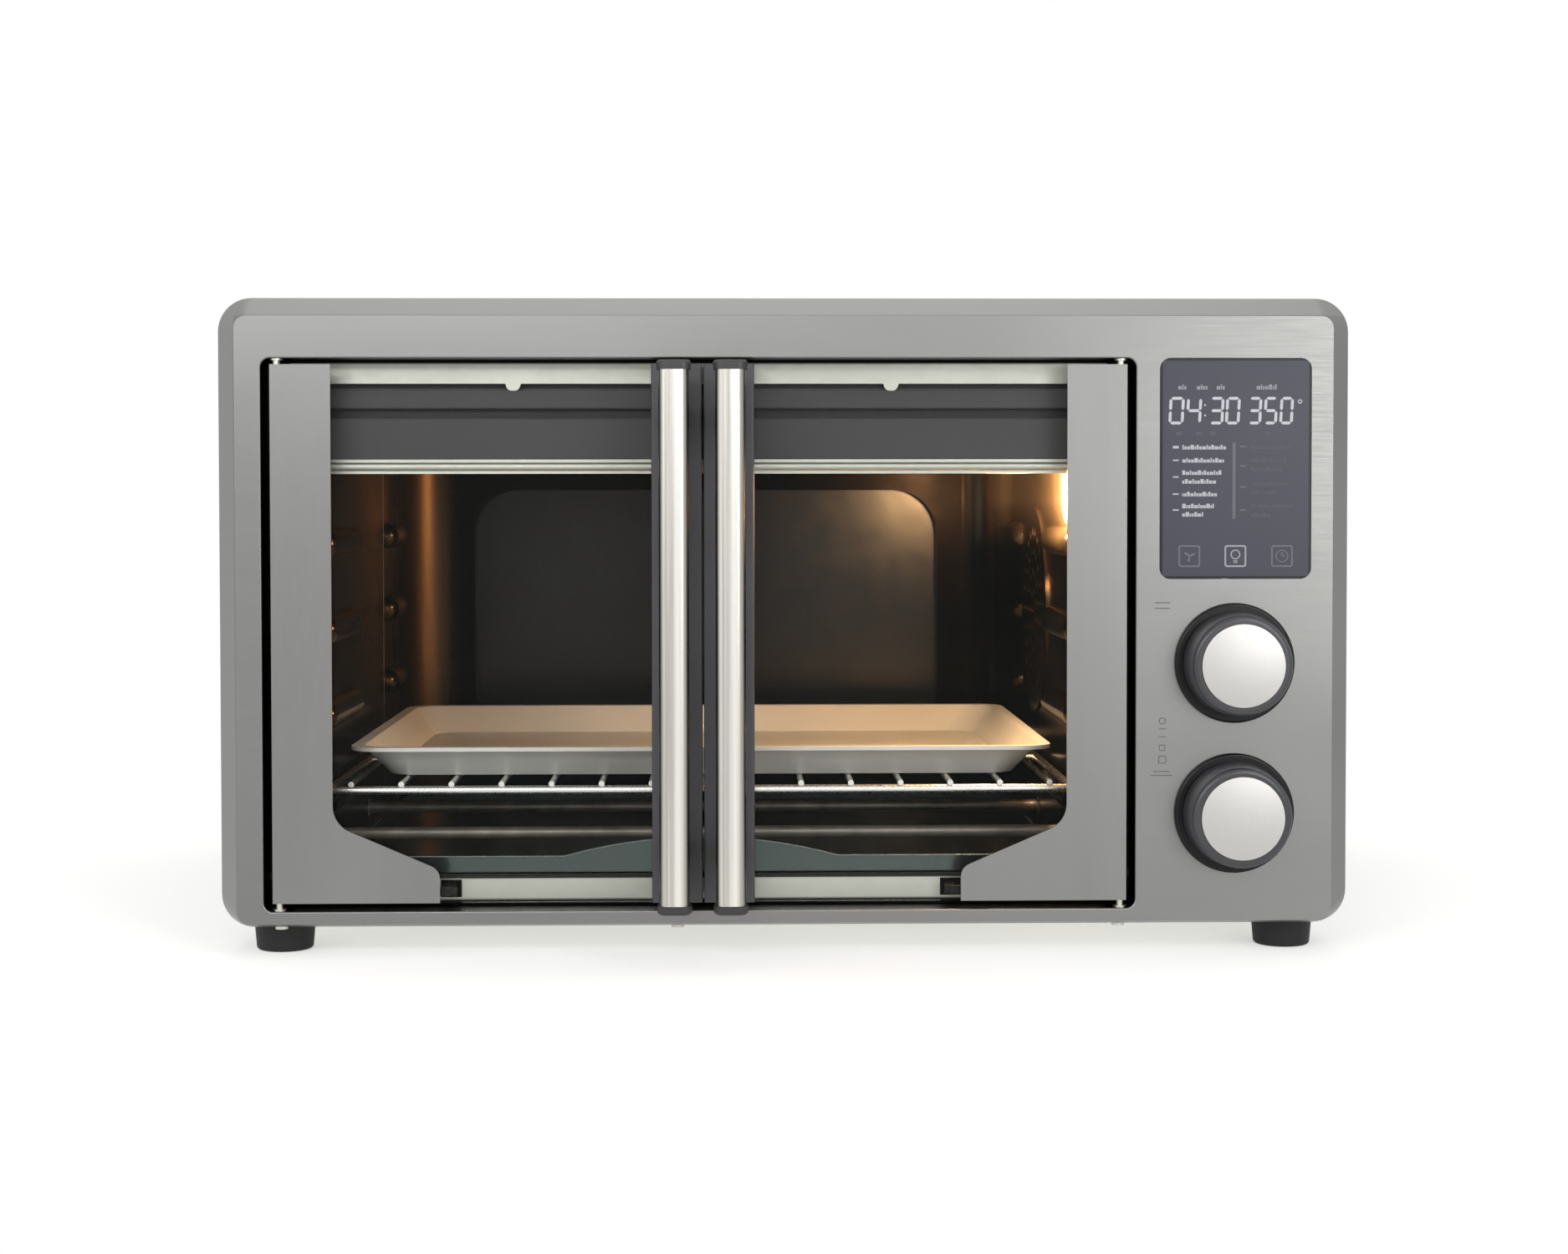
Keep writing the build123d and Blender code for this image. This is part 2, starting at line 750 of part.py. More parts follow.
def heating_elements(height):
    """Two sheathed tubes right across the cooking space, with their terminals outside it."""
    reach = liner_wall + insulator_length + terminal_length
    return [rod_x(element_radius, mouth_left - reach, mouth_right + reach, y, z)
            for y, z in element_places() if z == height]


def element_insulators():
    """Ceramic bushes where the elements pass through the side walls."""
    shapes = []
    for wall_x, outward in ((mouth_left, -1), (mouth_right, 1)):
        for y, z in element_places():
            x1 = wall_x + outward * (liner_wall + insulator_length)
            bush = rod_x(insulator_radius, wall_x, x1, y, z)
            bush -= rod_x(element_radius, wall_x - outward * overrun, x1 + outward * overrun, y, z)
            shapes.append(bush)
    return shapes


def door_trim(side):
    """Steel side panel of a door, flared at the foot, with the post that carries the hinge pins."""
    hinge_x, reach = hinge_places()[side]
    edge = hinge_x - reach * hinge_inset
    points = [(0, 0), (flare_width, 0), (flare_width, flare_end_height), (trim_width, flare_start_height),
              (trim_width, door_height), (0, door_height)]
    face = outline(points)
    face = round_corner(face, flare_width, flare_end_height, flare_tip_radius)
    face = round_corner(face, trim_width, flare_start_height, flare_root_radius)
    panel = front_prism(face, door_front_y, glass_front_y)
    post = block(0, pivot_post_width, glass_front_y, glass_front_y + pivot_post_depth, 0, door_height)
    panel += post
    panel -= rod_z(hinge_pin_radius, hinge_inset, hinge_y, -overrun, hinge_pin_grip)
    panel -= rod_z(hinge_pin_radius, hinge_inset, hinge_y, door_height - hinge_pin_grip, door_height + overrun)
    if reach < 0:
        panel = mirror(panel, about=Plane.YZ)
    return Pos(edge, 0, door_bottom) * panel


def door_edges(side):
    """Outer edge and seam edge of a door."""
    hinge_x, reach = hinge_places()[side]
    return hinge_x - reach * hinge_inset, seam_x - reach * seam_gap / 2


def door_glass(side):
    """Toughened pane from the trim to the stile, notched where the check arm's foot sits."""
    outer, inner = door_edges(side)
    reach = hinge_places()[side][1]
    x0 = outer + reach * (pivot_post_width + glass_post_clearance)
    x1 = inner - reach * (stile_width - stile_bite)
    pane = block(x0, x1, glass_front_y, glass_back_y, door_bottom, door_top)
    notch_x = outer + reach * (flare_width - glass_notch_clearance)
    pane -= block(x0 - reach * overrun, notch_x, glass_front_y - overrun, glass_back_y + overrun,
                  door_bottom - overrun, door_bottom + glass_notch_height)
    return pane


def door_stile(side):
    """Charcoal upright along the seam, grooved for the pane."""
    _, inner = door_edges(side)
    reach = hinge_places()[side][1]
    x0 = inner - reach * stile_width
    stile = block(x0, inner, door_front_y - stile_proud, door_front_y + stile_depth, door_bottom, door_top)
    front_edges = stile.edges().filter_by(Axis.Z).group_by(Axis.Y)[0]
    stile = fillet(front_edges, stile_edge)
    groove_end = x0 + reach * stile_bite
    stile -= block(x0 - reach * overrun, groove_end, glass_front_y, glass_back_y, door_bottom - overrun,
                   door_top + overrun)
    return stile


def bar_place(side):
    """Middle of a handle bar along X, and its front and rear depth."""
    reach = hinge_places()[side][1]
    x = seam_x - reach * bar_offset
    y0 = front_y - handle_reach
    return x, y0, y0 + bar_depth


def bar_section(side, growth):
    """Rounded section of a handle bar seen from above, grown by an even amount."""
    x, y0, y1 = bar_place(side)
    return Pos(x, (y0 + y1) / 2) * RectangleRounded(bar_width + 2 * growth, bar_depth, bar_edge)


def handle_bar(side):
    """Brushed steel bar nearly as tall as the door."""
    cap = bar_cap_height - bar_end_gap
    return flat_prism(bar_section(side, 0), door_bottom + cap, door_top - cap)


def handle_caps(side):
    """Domed dark caps on both ends of a handle bar."""
    cap = bar_cap_height - bar_end_gap
    shapes = []
    for z0, z1 in ((door_bottom + cap, door_bottom - bar_end_gap), (door_top - cap, door_top + bar_end_gap)):
        low = min(z0, z1)
        high = max(z0, z1)
        cap_shape = flat_prism(bar_section(side, bar_cap_overlap), low, high)
        rim = cap_shape.edges().group_by(Axis.Z)[0 if z1 < z0 else -1]
        shapes.append(fillet(rim, bar_cap_height / 3))
    return shapes


def handle_posts(side):
    """Two dark stand-offs between the stile and the handle bar."""
    x, _, y1 = bar_place(side)
    shapes = []
    for z in (door_bottom + post_end_distance, door_top - post_end_distance):
        shapes.append(block(x - post_width / 2, x + post_width / 2, y1, door_front_y - stile_proud,
                            z - post_height / 2, z + post_height / 2))
    return shapes


def hinge_pins(side):
    """Upper and lower pins; the lower one runs on down into the sector gear."""
    hinge_x, _ = hinge_places()[side]
    lower = rod_z(hinge_pin_radius, hinge_x, hinge_y, gear_bottom, door_bottom + hinge_pin_grip)
    upper = rod_z(hinge_pin_radius, hinge_x, hinge_y, door_top - hinge_pin_grip, opening_top + sheet)
    return [lower, upper]


def hinge_bushes():
    """Bearing bushes in the flange of the door opening."""
    shapes = []
    for hinge_x, _ in hinge_places().values():
        for wall, inward in ((opening_bottom, 1), (opening_top, -1)):
            bush = rod_z(bush_radius, hinge_x, hinge_y, wall - inward * (sheet + bush_tail), wall)
            bush += rod_z(bush_head_radius, hinge_x, hinge_y, wall, wall + inward * bush_head)
            bush -= rod_z(hinge_pin_radius + running_clearance, hinge_x, hinge_y, wall - overrun * 4,
                          wall + overrun * 4)
            shapes.append(bush)
    return shapes


def tooth_half_angle(radius):
    """Half the angle that a gear tooth spans at one radius, from the involute of its base circle."""
    pressure = math.radians(gear_pressure_angle)
    base_radius = gear_pitch_radius * math.cos(pressure)
    at_pitch = (tooth_pitch / 2 - gear_backlash) / 2 / gear_pitch_radius
    roll = math.acos(min(1, base_radius / radius))
    return at_pitch + (math.tan(pressure) - pressure) - (math.tan(roll) - roll)


def gear_face():
    """Outline of the full gear, with one tooth pointing along +X."""
    root = gear_pitch_radius - gear_dedendum
    tip = gear_pitch_radius + gear_addendum
    steps = 4
    radii = [root + (tip - root) * step / steps for step in range(steps + 1)]
    points = []
    for tooth in range(gear_teeth):
        middle = tooth * math.tau / gear_teeth
        for radius in radii:
            angle = middle - tooth_half_angle(radius)
            points.append((radius * math.cos(angle), radius * math.sin(angle)))
        for radius in reversed(radii):
            angle = middle + tooth_half_angle(radius)
            points.append((radius * math.cos(angle), radius * math.sin(angle)))
    return outline(points)


def sector_gear(side):
    """Toothed sector on the lower hinge pin, only as wide as the door's swing needs."""
    hinge_x, reach = hinge_places()[side]
    start = link_side_angle - sector_margin_angle
    stop = link_side_angle + door_swing_angle + sector_margin_angle
    far = gear_pitch_radius * 3
    rays = [(0, 0)]
    for angle in (start, (start * 2 + stop) / 3, (start + stop * 2) / 3, stop):
        rays.append((far * math.cos(math.radians(angle)), far * math.sin(math.radians(angle))))
    face = gear_face() & outline(rays)
    face += Circle(gear_hub_radius)
    face -= Circle(hinge_pin_radius)
    gear = flat_prism(face, 0, gear_thickness)
    if reach < 0:
        gear = mirror(gear, about=Plane.YZ)
    return Pos(hinge_x, hinge_y, gear_bottom) * gear


def idler_pinion():
    """Full gear between the two link bars, turning on the stud of the base plate."""
    face = gear_face() - Circle(idler_stud_radius + running_clearance)
    return Pos(opening_centre, idler_y, gear_bottom) * flat_prism(face, 0, gear_thickness)


def rack_teeth(first_x, count, pitch_y, facing):
    """Straight teeth side by side along X, pointing to one side, as cut from their bar."""
    slope = math.tan(math.radians(gear_pressure_angle))
    at_pitch = (tooth_pitch / 2 - gear_backlash) / 2
    tip = at_pitch - gear_addendum * slope
    root = at_pitch + gear_dedendum * slope
    tip_y = pitch_y + facing * gear_addendum
    root_y = pitch_y - facing * gear_dedendum
    sunk_y = root_y - facing * gear_dedendum
    teeth = []
    for number in range(count):
        x = first_x + number * tooth_pitch
        points = [(x - root, sunk_y), (x - root, root_y), (x - tip, tip_y), (x + tip, tip_y), (x + root, root_y),
                  (x + root, sunk_y)]
        teeth.append(flat_prism(outline(points), gear_bottom, gear_top))
    return teeth


def travel_teeth():
    """Number of teeth that a link bar brings past its gear, with one to spare."""
    return math.ceil(rack_travel / tooth_pitch) + 2


def left_link_bar():
    """Bar driven by the left sector, toothed in front at the hinge and behind at the idler."""
    hinge_x, _ = hinge_places()["left"]
    count = travel_teeth()
    first = hinge_x - (count - 1.5) * tooth_pitch
    start = first - tooth_pitch / 2
    stop = opening_centre + tooth_pitch + bar_end_margin
    bar = block(start, stop, rack_root_y, rack_rear_y, gear_bottom, gear_top)
    bar += rack_teeth(first, count, rack_pitch_y, -1)
    first_rear = opening_centre - (count - 1.5) * tooth_pitch
    bar += rack_teeth(first_rear, count, rack_rear_y + gear_dedendum, 1)
    return bar


def right_link_bar():
    """Bar driven by the right sector, stepped back to reach the far side of the idler."""
    hinge_x, _ = hinge_places()["right"]
    count = travel_teeth()
    first = hinge_x - tooth_pitch / 2
    stop = first + (count - 1) * tooth_pitch + tooth_pitch / 2
    jog_x = opening_centre + jog_offset
    bar = block(jog_x, stop, rack_root_y, rack_rear_y, gear_bottom, gear_top)
    bar += rack_teeth(first, count, rack_pitch_y, -1)
    bar += block(jog_x, jog_x + bar_web, rack_root_y, far_root_y + bar_web, gear_bottom, gear_top)
    start = opening_centre - tooth_pitch - bar_end_margin
    bar += block(start, jog_x + bar_web, far_root_y, far_root_y + bar_web, gear_bottom, gear_top)
    bar += rack_teeth(opening_centre - tooth_pitch / 2, count, far_pitch_y, -1)
    return bar


def link_guides():
    """Staples on the base plate that keep both link bars straight."""
    left_hinge, _ = hinge_places()["left"]
    right_hinge, _ = hinge_places()["right"]
    jog_x = opening_centre + jog_offset
    shapes = []
    for x in ((left_hinge * 2 + opening_centre) / 3, (left_hinge + opening_centre * 2) / 3,
              (right_hinge * 2 + jog_x) / 3, (right_hinge + jog_x * 2) / 3):
        outer = block(x - guide_length / 2, x + guide_length / 2, rack_root_y - guide_clearance - guide_wall,
                      rack_rear_y + guide_clearance + guide_wall, tongue_top, gear_top + guide_clearance + guide_roof)
        outer -= block(x - guide_length, x + guide_length, rack_root_y - guide_clearance,
                       rack_rear_y + guide_clearance, tongue_top - overrun, gear_top + guide_clearance)
        shapes.append(outer)
    return shapes


def check_arm(side):
    """Curved arm centred on the hinge line, with a foot behind the flare and a stop at its end."""
    hinge_x, reach = hinge_places()[side]
    inner = arm_radius - arm_width / 2
    outer = arm_radius + arm_width / 2

    def ring_part(r0, r1, start, stop):
        points = [(0, 0)]
        pieces = max(2, math.ceil((stop - start) / 30))
        for step in range(pieces + 1):
            angle = math.radians(start + (stop - start) * step / pieces)
            points.append((2 * r1 * math.cos(angle), 2 * r1 * math.sin(angle)))
        return (Circle(r1) - Circle(r0)) & outline(points)

    face = ring_part(inner, outer, arm_start_angle, arm_end_angle)
    face += ring_part(arm_radius - arm_stop_width / 2, arm_radius + arm_stop_width / 2,
                      arm_end_angle - arm_stop_angle, arm_end_angle)
    arm = flat_prism(face, 0, arm_thickness)
    foot_end = flare_width - glass_notch_clearance - arm_foot_clearance - hinge_inset
    foot_start = foot_end - arm_foot_length
    arm += block(foot_start, foot_end, glass_front_y - hinge_y, arm_foot_back, 0, arm_thickness)
    arm += block(foot_start, arm_radius, arm_foot_front, arm_foot_back, 0, arm_thickness)
    if reach < 0:
        arm = mirror(arm, about=Plane.YZ)
    return Pos(hinge_x, hinge_y, arm_bottom) * arm


def wire_rack():
    """Plated wire rack: a rod frame with cross rods welded on top."""
    left = mouth_left + rack_rod_inset
    right = mouth_right - rack_rod_inset
    rear_y = rack_front_y + rack_depth
    rack = rod_x(rack_rod_radius, left, right, rack_front_y, rack_z)
    rack += rod_x(rack_rod_radius, left, right, rear_y, rack_z)
    rack += rod_x(rack_rod_radius, left, right, (rack_front_y + rear_y) / 2, rack_z)
    for x in (left, right):
        rack += rod_y(rack_rod_radius, x, rack_front_y, rear_y, rack_z)
        for y in (rack_front_y, rear_y):
            rack += Pos(x, y, rack_z) * Sphere(rack_rod_radius)
    first = opening_centre - (cross_rod_count - 1) / 2 * cross_rod_spacing
    for number in range(cross_rod_count):
        x = first + number * cross_rod_spacing
        rack += rod_y(cross_rod_radius, x, rack_front_y - rod_overhang, rear_y + rod_overhang, cross_rod_z)
    return rack


def baking_pan():
    """Shallow pan with sloping sides and a flat rim."""
    rear_y = rack_front_y + rack_depth
    centre = Pos(opening_centre, (rack_front_y + rear_y) / 2 - pan_forward)

    def level(width, depth, z):
        return Plane(origin=(0, 0, z)) * centre * RectangleRounded(width, depth, pan_corner_radius)

    top = pan_bottom + pan_height
    outer = loft([level(pan_floor_width, pan_floor_depth, pan_bottom).face(),
                  level(pan_rim_width - 2 * pan_rim_lip, pan_rim_depth - 2 * pan_rim_lip, top).face()])
    outer += extrude(level(pan_rim_width, pan_rim_depth, top - pan_rim_thickness), amount=pan_rim_thickness)
    inner = loft([level(pan_floor_width - 2 * pan_wall, pan_floor_depth - 2 * pan_wall, pan_bottom + pan_wall).face(),
                  level(pan_rim_width - 2 * pan_rim_lip - 2 * pan_wall, pan_rim_depth - 2 * pan_rim_lip - 2 * pan_wall,
                        top).face()])
    mouth = level(pan_rim_width - 2 * pan_rim_lip - 2 * pan_wall, pan_rim_depth - 2 * pan_rim_lip - 2 * pan_wall, top)
    return outer - inner - extrude(mouth, amount=overrun)


def crumb_tray():
    """Tray under the lower elements, with a raised grip in the middle of its front edge."""
    floor_z = mouth_bottom + tray_floor_clearance
    x0 = opening_centre - tray_width / 2
    x1 = opening_centre + tray_width / 2
    y0 = frame_back_y + tray_front_gap
    y1 = y0 + tray_depth
    tray = block(x0, x1, y0, y1, floor_z, floor_z + tray_side_height)
    tray -= block(x0 + tray_wall, x1 - tray_wall, y0 + tray_wall, y1 - tray_wall, floor_z + tray_wall,
                  floor_z + tray_side_height + overrun)
    tray += block(x0, x1, y0, y0 + tray_wall, floor_z, floor_z + tray_front_height)
    half = tray_handle_width / 2
    base = floor_z + tray_front_height
    grip = make_face([
        Line((-half, 0), (half, 0)),
        Spline((half, 0), (half / 3, tray_handle_rise), (-half / 3, tray_handle_rise), (-half, 0)),
    ])
    tray += front_prism(Pos(opening_centre, base) * grip, y0, y0 + tray_wall)
    return tray


def fan_grille():
    """Round perforated guard over the fan pocket."""
    disc = rod_x(grille_radius, mouth_right - grille_thickness, mouth_right, fan_y, fan_z)
    holes = []
    for ring, count in enumerate(grille_ring_counts):
        radius = ring * grille_ring_spacing
        for number in range(count):
            angle = math.tau * number / count
            holes.append(rod_x(grille_hole_radius, mouth_right - grille_thickness - overrun, mouth_right + overrun,
                               fan_y + radius * math.cos(angle), fan_z + radius * math.sin(angle)))
    return disc - holes


def fan_impeller():
    """Bladed wheel on its shaft."""
    plate_x = pocket_end_x - impeller_clearance
    wheel = rod_x(impeller_radius, plate_x - impeller_plate, plate_x, fan_y, fan_z)
    wheel += rod_x(fan_hub_radius, plate_x - blade_height, plate_x, fan_y, fan_z)
    reach = impeller_radius - blade_inner_radius
    for number in range(blade_count):
        blade = Pos(0, blade_inner_radius + reach / 2, 0) * Box(blade_height, reach, blade_thickness)
        turned = Rot(360 * number / blade_count, 0, 0) * blade
        wheel += Pos(plate_x - blade_height / 2, fan_y, fan_z) * turned
    wheel += rod_x(fan_shaft_radius, plate_x, pocket_end_x + liner_wall + motor_length / 2, fan_y, fan_z)
    return wheel


def fan_motor():
    """Shaded-pole motor body behind the fan pocket."""
    x0 = pocket_end_x + liner_wall
    motor = rod_x(motor_radius, x0, x0 + motor_length, fan_y, fan_z)
    motor += rod_x(motor_bearing_radius, x0 + motor_length, x0 + motor_length + motor_bearing_length, fan_y, fan_z)
    return motor - rod_x(fan_shaft_radius + running_clearance, x0 - overrun, x0 + motor_length / 2 + overrun,
                         fan_y, fan_z)


def lamp_lens():
    """Glass cover of the lamp, held in the wall by its flange."""
    end = mouth_right + liner_wall + lamp_socket_setback
    lens = rod_x(lamp_flange_radius, mouth_right - lamp_flange, mouth_right, lamp_y, lamp_z)
    lens += rod_x(lamp_hole_radius, mouth_right, end, lamp_y, lamp_z)
    return lens - rod_x(lamp_hole_radius - lamp_glass_wall, mouth_right - lamp_flange + lamp_glass_wall,
                        end + overrun, lamp_y, lamp_z)


def lamp_socket():
    """Ceramic lamp holder behind the lens."""
    start = mouth_right + liner_wall + lamp_socket_setback
    socket = rod_x(lamp_hole_radius, start, start + lamp_glass_wall * 2, lamp_y, lamp_z)
    socket += rod_x(lamp_socket_radius, start, start + lamp_socket_length, lamp_y, lamp_z)
    return socket - rod_x(bulb_radius, start - overrun, start + bulb_length / 2, lamp_y, lamp_z)


def lamp_bulb():
    """Small oven bulb standing in its holder."""
    start = mouth_right + liner_wall + lamp_socket_setback
    inner = start + bulb_length / 2
    tip = inner - bulb_length
    bulb = rod_x(bulb_radius, tip + bulb_radius, inner, lamp_y, lamp_z)
    return bulb + Pos(tip + bulb_radius, lamp_y, lamp_z) * Sphere(bulb_radius)


def temperature_probe():
    """Thin probe reaching in from the right wall under the upper elements."""
    wall = mouth_right + liner_wall
    probe = rod_x(probe_radius, mouth_right - probe_length, wall + probe_tail, probe_y, probe_z)
    probe += Pos(mouth_right - probe_length, probe_y, probe_z) * Sphere(probe_radius)
    return probe + rod_x(probe_collar_radius, wall, wall + probe_collar, probe_y, probe_z)


def display_window():
    """Dark window set flush in the fascia."""
    z = display_centre_z
    face = rounded(display_centre_x - display_width / 2, display_centre_x + display_width / 2,
                   z - display_height / 2, z + display_height / 2, display_corner_radius)
    return front_prism(face, front_y - display_proud, front_y - display_proud + display_thickness)


def display_board():
    """Display module on its circuit board, straight behind the window."""
    z = display_centre_z
    y0 = front_y - display_proud + display_thickness
    half_x = display_width / 2 - module_inset
    half_z = display_height / 2 - module_inset
    module = block(display_centre_x - half_x, display_centre_x + half_x, y0, y0 + module_depth, z - half_z,
                   z + half_z)
    half_x += board_border
    half_z += board_border
    board = block(display_centre_x - half_x, display_centre_x + half_x, y0 + module_depth,
                  y0 + module_depth + board_thickness, z - half_z, z + half_z)
    return module + board


def knob_rings():
    """Dark stepped rings round both knobs."""
    shapes = []
    for height in knob_heights().values():
        ring = rod_y(knob_ring_radius, knob_x, front_y - knob_ring_height, front_y, height)
        ring = fillet(ring.edges().group_by(Axis.Y)[0], knob_ring_edge)
        shapes.append(ring - rod_y(knob_ring_bore, knob_x, front_y - knob_ring_height - overrun,
                                   front_y + overrun, height))
    return shapes


def encoders():
    """Rotary encoders behind the fascia, each with a bored neck for its shaft."""
    shapes = []
    for height in knob_heights().values():
        body_y = front_y + sheet
        half = encoder_size / 2
        body = block(knob_x - half, knob_x + half, body_y, body_y + encoder_depth, height - half, height + half)
        body += rod_y(encoder_neck_radius, knob_x, front_y - knob_ring_height, body_y + overrun, height)
        body -= rod_y(shaft_radius + running_clearance, knob_x, front_y - knob_ring_height - overrun,
                      body_y + encoder_depth - encoder_end_wall, height)
        shapes.append(body)
    return shapes


def knob_back_y():
    """Depth of the back face of a knob at rest."""
    return front_y - knob_ring_height - knob_gap


def knob_shaft(which):
    """Encoder shaft that carries a knob and goes in when the knob is pressed."""
    end = front_y + sheet + encoder_depth - encoder_end_wall - knob_press - rest_clearance
    return rod_y(shaft_radius, knob_x, knob_back_y() - shaft_grip, end, knob_heights()[which])


def knob_body(which):
    """Glossy dark knob with a slight taper and a rounded front edge."""
    height = knob_heights()[which]
    back = knob_back_y()
    shape = Pos(knob_x, back - knob_height / 2, height) * Rot(90, 0, 0) * Cone(knob_base_radius, knob_front_radius,
                                                                              knob_height)
    shape = fillet(shape.edges().group_by(Axis.Y)[0], knob_edge)
    return shape - rod_y(shaft_radius + running_clearance, knob_x, back - shaft_grip - rest_clearance,
                         back + overrun, height)


def knob_cap(which):
    """Satin metal disc on the front of a knob, very slightly domed."""
    height = knob_heights()[which]
    base = knob_back_y() - knob_height
    disc = rod_y(cap_radius, knob_x, base - cap_height, base, height)
    ball_radius = (cap_radius ** 2 + cap_dome ** 2) / (2 * cap_dome)
    ball = Pos(knob_x, base - cap_height - cap_dome + ball_radius, height) * Sphere(ball_radius)
    dome = ball & rod_y(cap_radius, knob_x, base - cap_height - cap_dome - overrun, base - cap_height, height)
    return disc + dome


def power_board():
    """Power board with its largest parts, on stand-offs from the base plate."""
    x1 = side_x - power_board_side_gap
    x0 = x1 - power_board_width
    y1 = back_y - power_board_rear_distance
    y0 = y1 - power_board_depth
    z0 = bottom_z + sheet + standoff_height
    board = block(x0, x1, y0, y1, z0, z0 + board_thickness)
    for x in (x0 + standoff_inset, x1 - standoff_inset):
        for y in (y0 + standoff_inset, y1 - standoff_inset):
            board += rod_z(standoff_radius, x, y, bottom_z + sheet, z0)
    part_x = power_board_width * power_part_share
    part_y = power_board_depth * power_part_share
    z1 = z0 + board_thickness
    board += block(x0 + standoff_inset, x0 + standoff_inset + part_x, y0 + standoff_inset,
                   y0 + standoff_inset + part_y, z1, z1 + power_part_height)
    board += block(x1 - standoff_inset - part_x, x1 - standoff_inset, y1 - standoff_inset - part_y,
                   y1 - standoff_inset, z1, z1 + power_part_height / 2)
    return board


def screws():
    """Pan-head screws under the front edge and round the rear cover."""
    shapes = []
    for x in base_screw_xs():
        screw = rod_z(screw_head_radius, x, base_screw_y(), bottom_z - screw_head_height, bottom_z)
        shapes.append(screw + rod_z(screw_shank_radius, x, base_screw_y(), bottom_z, tongue_top))
    for x, z in screw_places_rear():
        y = back_y + sheet
        screw = rod_y(screw_head_radius, x, y, y + screw_head_height, z)
        shapes.append(screw + rod_y(screw_shank_radius, x, y - sheet * 2, y, z))
    return shapes


def door_nodes(side):
    """Every piece of one door under its node name."""
    return {
        side + "_door_trim": door_trim(side),
        side + "_door_glass": door_glass(side),
        side + "_door_stile": door_stile(side),
        side + "_handle_bar": handle_bar(side),
        side + "_handle_caps": handle_caps(side),
        side + "_handle_posts": handle_posts(side),
        side + "_hinge_pins": hinge_pins(side),
        side + "_sector_gear": sector_gear(side),
        side + "_check_arm": check_arm(side),
    }


def all_nodes():
    """Every piece of the oven under its node name."""
    nodes = {
        "front_fascia": fascia(),
        "outer_wrap": outer_wrap(),
        "base_plate": base_plate(),
        "rear_cover": rear_cover(),
        "cord_gland": cord_gland(),
        "foot_front_left": foot(-1, -1),
        "foot_front_right": foot(1, -1),
        "foot_rear_left": foot(-1, 1),
        "foot_rear_right": foot(1, 1),
        "front_frame": front_frame(),
        "header_panel": header_panel(),
        "cavity_liner": cavity_liner(),
        "hinge_bushes": hinge_bushes(),
        "screws": screws(),
        "left_link_bar": left_link_bar(),
        "right_link_bar": right_link_bar(),
        "idler_pinion": idler_pinion(),
        "link_guides": link_guides(),
        "wire_rack": wire_rack(),
        "baking_pan": baking_pan(),
        "crumb_tray": crumb_tray(),
        "upper_elements": heating_elements(upper_element_z),
        "lower_elements": heating_elements(element_z),
        "element_insulators": element_insulators(),
        "fan_grille": fan_grille(),
        "fan_impeller": fan_impeller(),
        "fan_motor": fan_motor(),
        "lamp_lens": lamp_lens(),
        "lamp_socket": lamp_socket(),
        "lamp_bulb": lamp_bulb(),
        "temperature_probe": temperature_probe(),
        "display_window": display_window(),
        "display_board": display_board(),
        "power_board": power_board(),
        "knob_rings": knob_rings(),
        "encoders": encoders(),
    }
    for side in hinge_places():
        nodes.update(door_nodes(side))
    for which in knob_heights():
        nodes[which + "_knob_shaft"] = knob_shaft(which)
        nodes[which + "_knob"] = knob_body(which)
        nodes[which + "_knob_cap"] = knob_cap(which)
    return nodes


def main():
    os.makedirs("parts", exist_ok=True)
    for name, shape in all_nodes().items():
        if isinstance(shape, list):
            shape = Compound(children=shape)
        export_step(shape, "parts/" + name + ".step")


main()
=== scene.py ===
# %% [markdown]
# Countertop air fryer oven with two glass doors
#
# This lesson dresses a CAD model of a countertop oven. The solids come from the
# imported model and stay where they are. Blender gives each of them a finish that
# looks like the real material, adds the small details that a solid leaves out,
# and sets up the camera and the light. Everything is in metres. X runs to the
# right, Y away from the camera and Z up.

# %% Load the model
import math

import bmesh
import bpy
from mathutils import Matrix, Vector


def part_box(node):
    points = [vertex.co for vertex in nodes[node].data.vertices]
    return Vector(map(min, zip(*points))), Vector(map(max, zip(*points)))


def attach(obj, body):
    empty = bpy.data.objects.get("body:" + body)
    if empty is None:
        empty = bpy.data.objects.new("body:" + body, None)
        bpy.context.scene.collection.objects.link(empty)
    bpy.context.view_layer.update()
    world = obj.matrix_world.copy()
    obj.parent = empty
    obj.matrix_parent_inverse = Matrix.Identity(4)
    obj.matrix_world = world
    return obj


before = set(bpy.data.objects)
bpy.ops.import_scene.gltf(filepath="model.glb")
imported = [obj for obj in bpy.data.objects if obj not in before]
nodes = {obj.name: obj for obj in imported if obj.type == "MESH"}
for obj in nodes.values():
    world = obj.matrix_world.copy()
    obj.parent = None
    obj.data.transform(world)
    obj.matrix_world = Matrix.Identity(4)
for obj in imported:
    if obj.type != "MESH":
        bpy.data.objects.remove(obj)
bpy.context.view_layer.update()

print("CAD nodes:", len(nodes))

# %% [markdown]
# Where the pieces are
#
# New pieces have to sit on the solids that carry them. The box of a node gives
# its lowest and highest corners, so places are read from the model instead of
# being typed in. That way a new size in the model moves the details along.

# %% Measure the model
def middle(node):
    """Middle of a node's box."""
    low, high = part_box(node)
    return (low + high) / 2


display_low, display_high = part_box("display_window")
display_face = display_low.y
mm = 0.001
print("display face at y", round(display_face, 4), "middle at",
      [round(v, 4) for v in middle("display_window")])

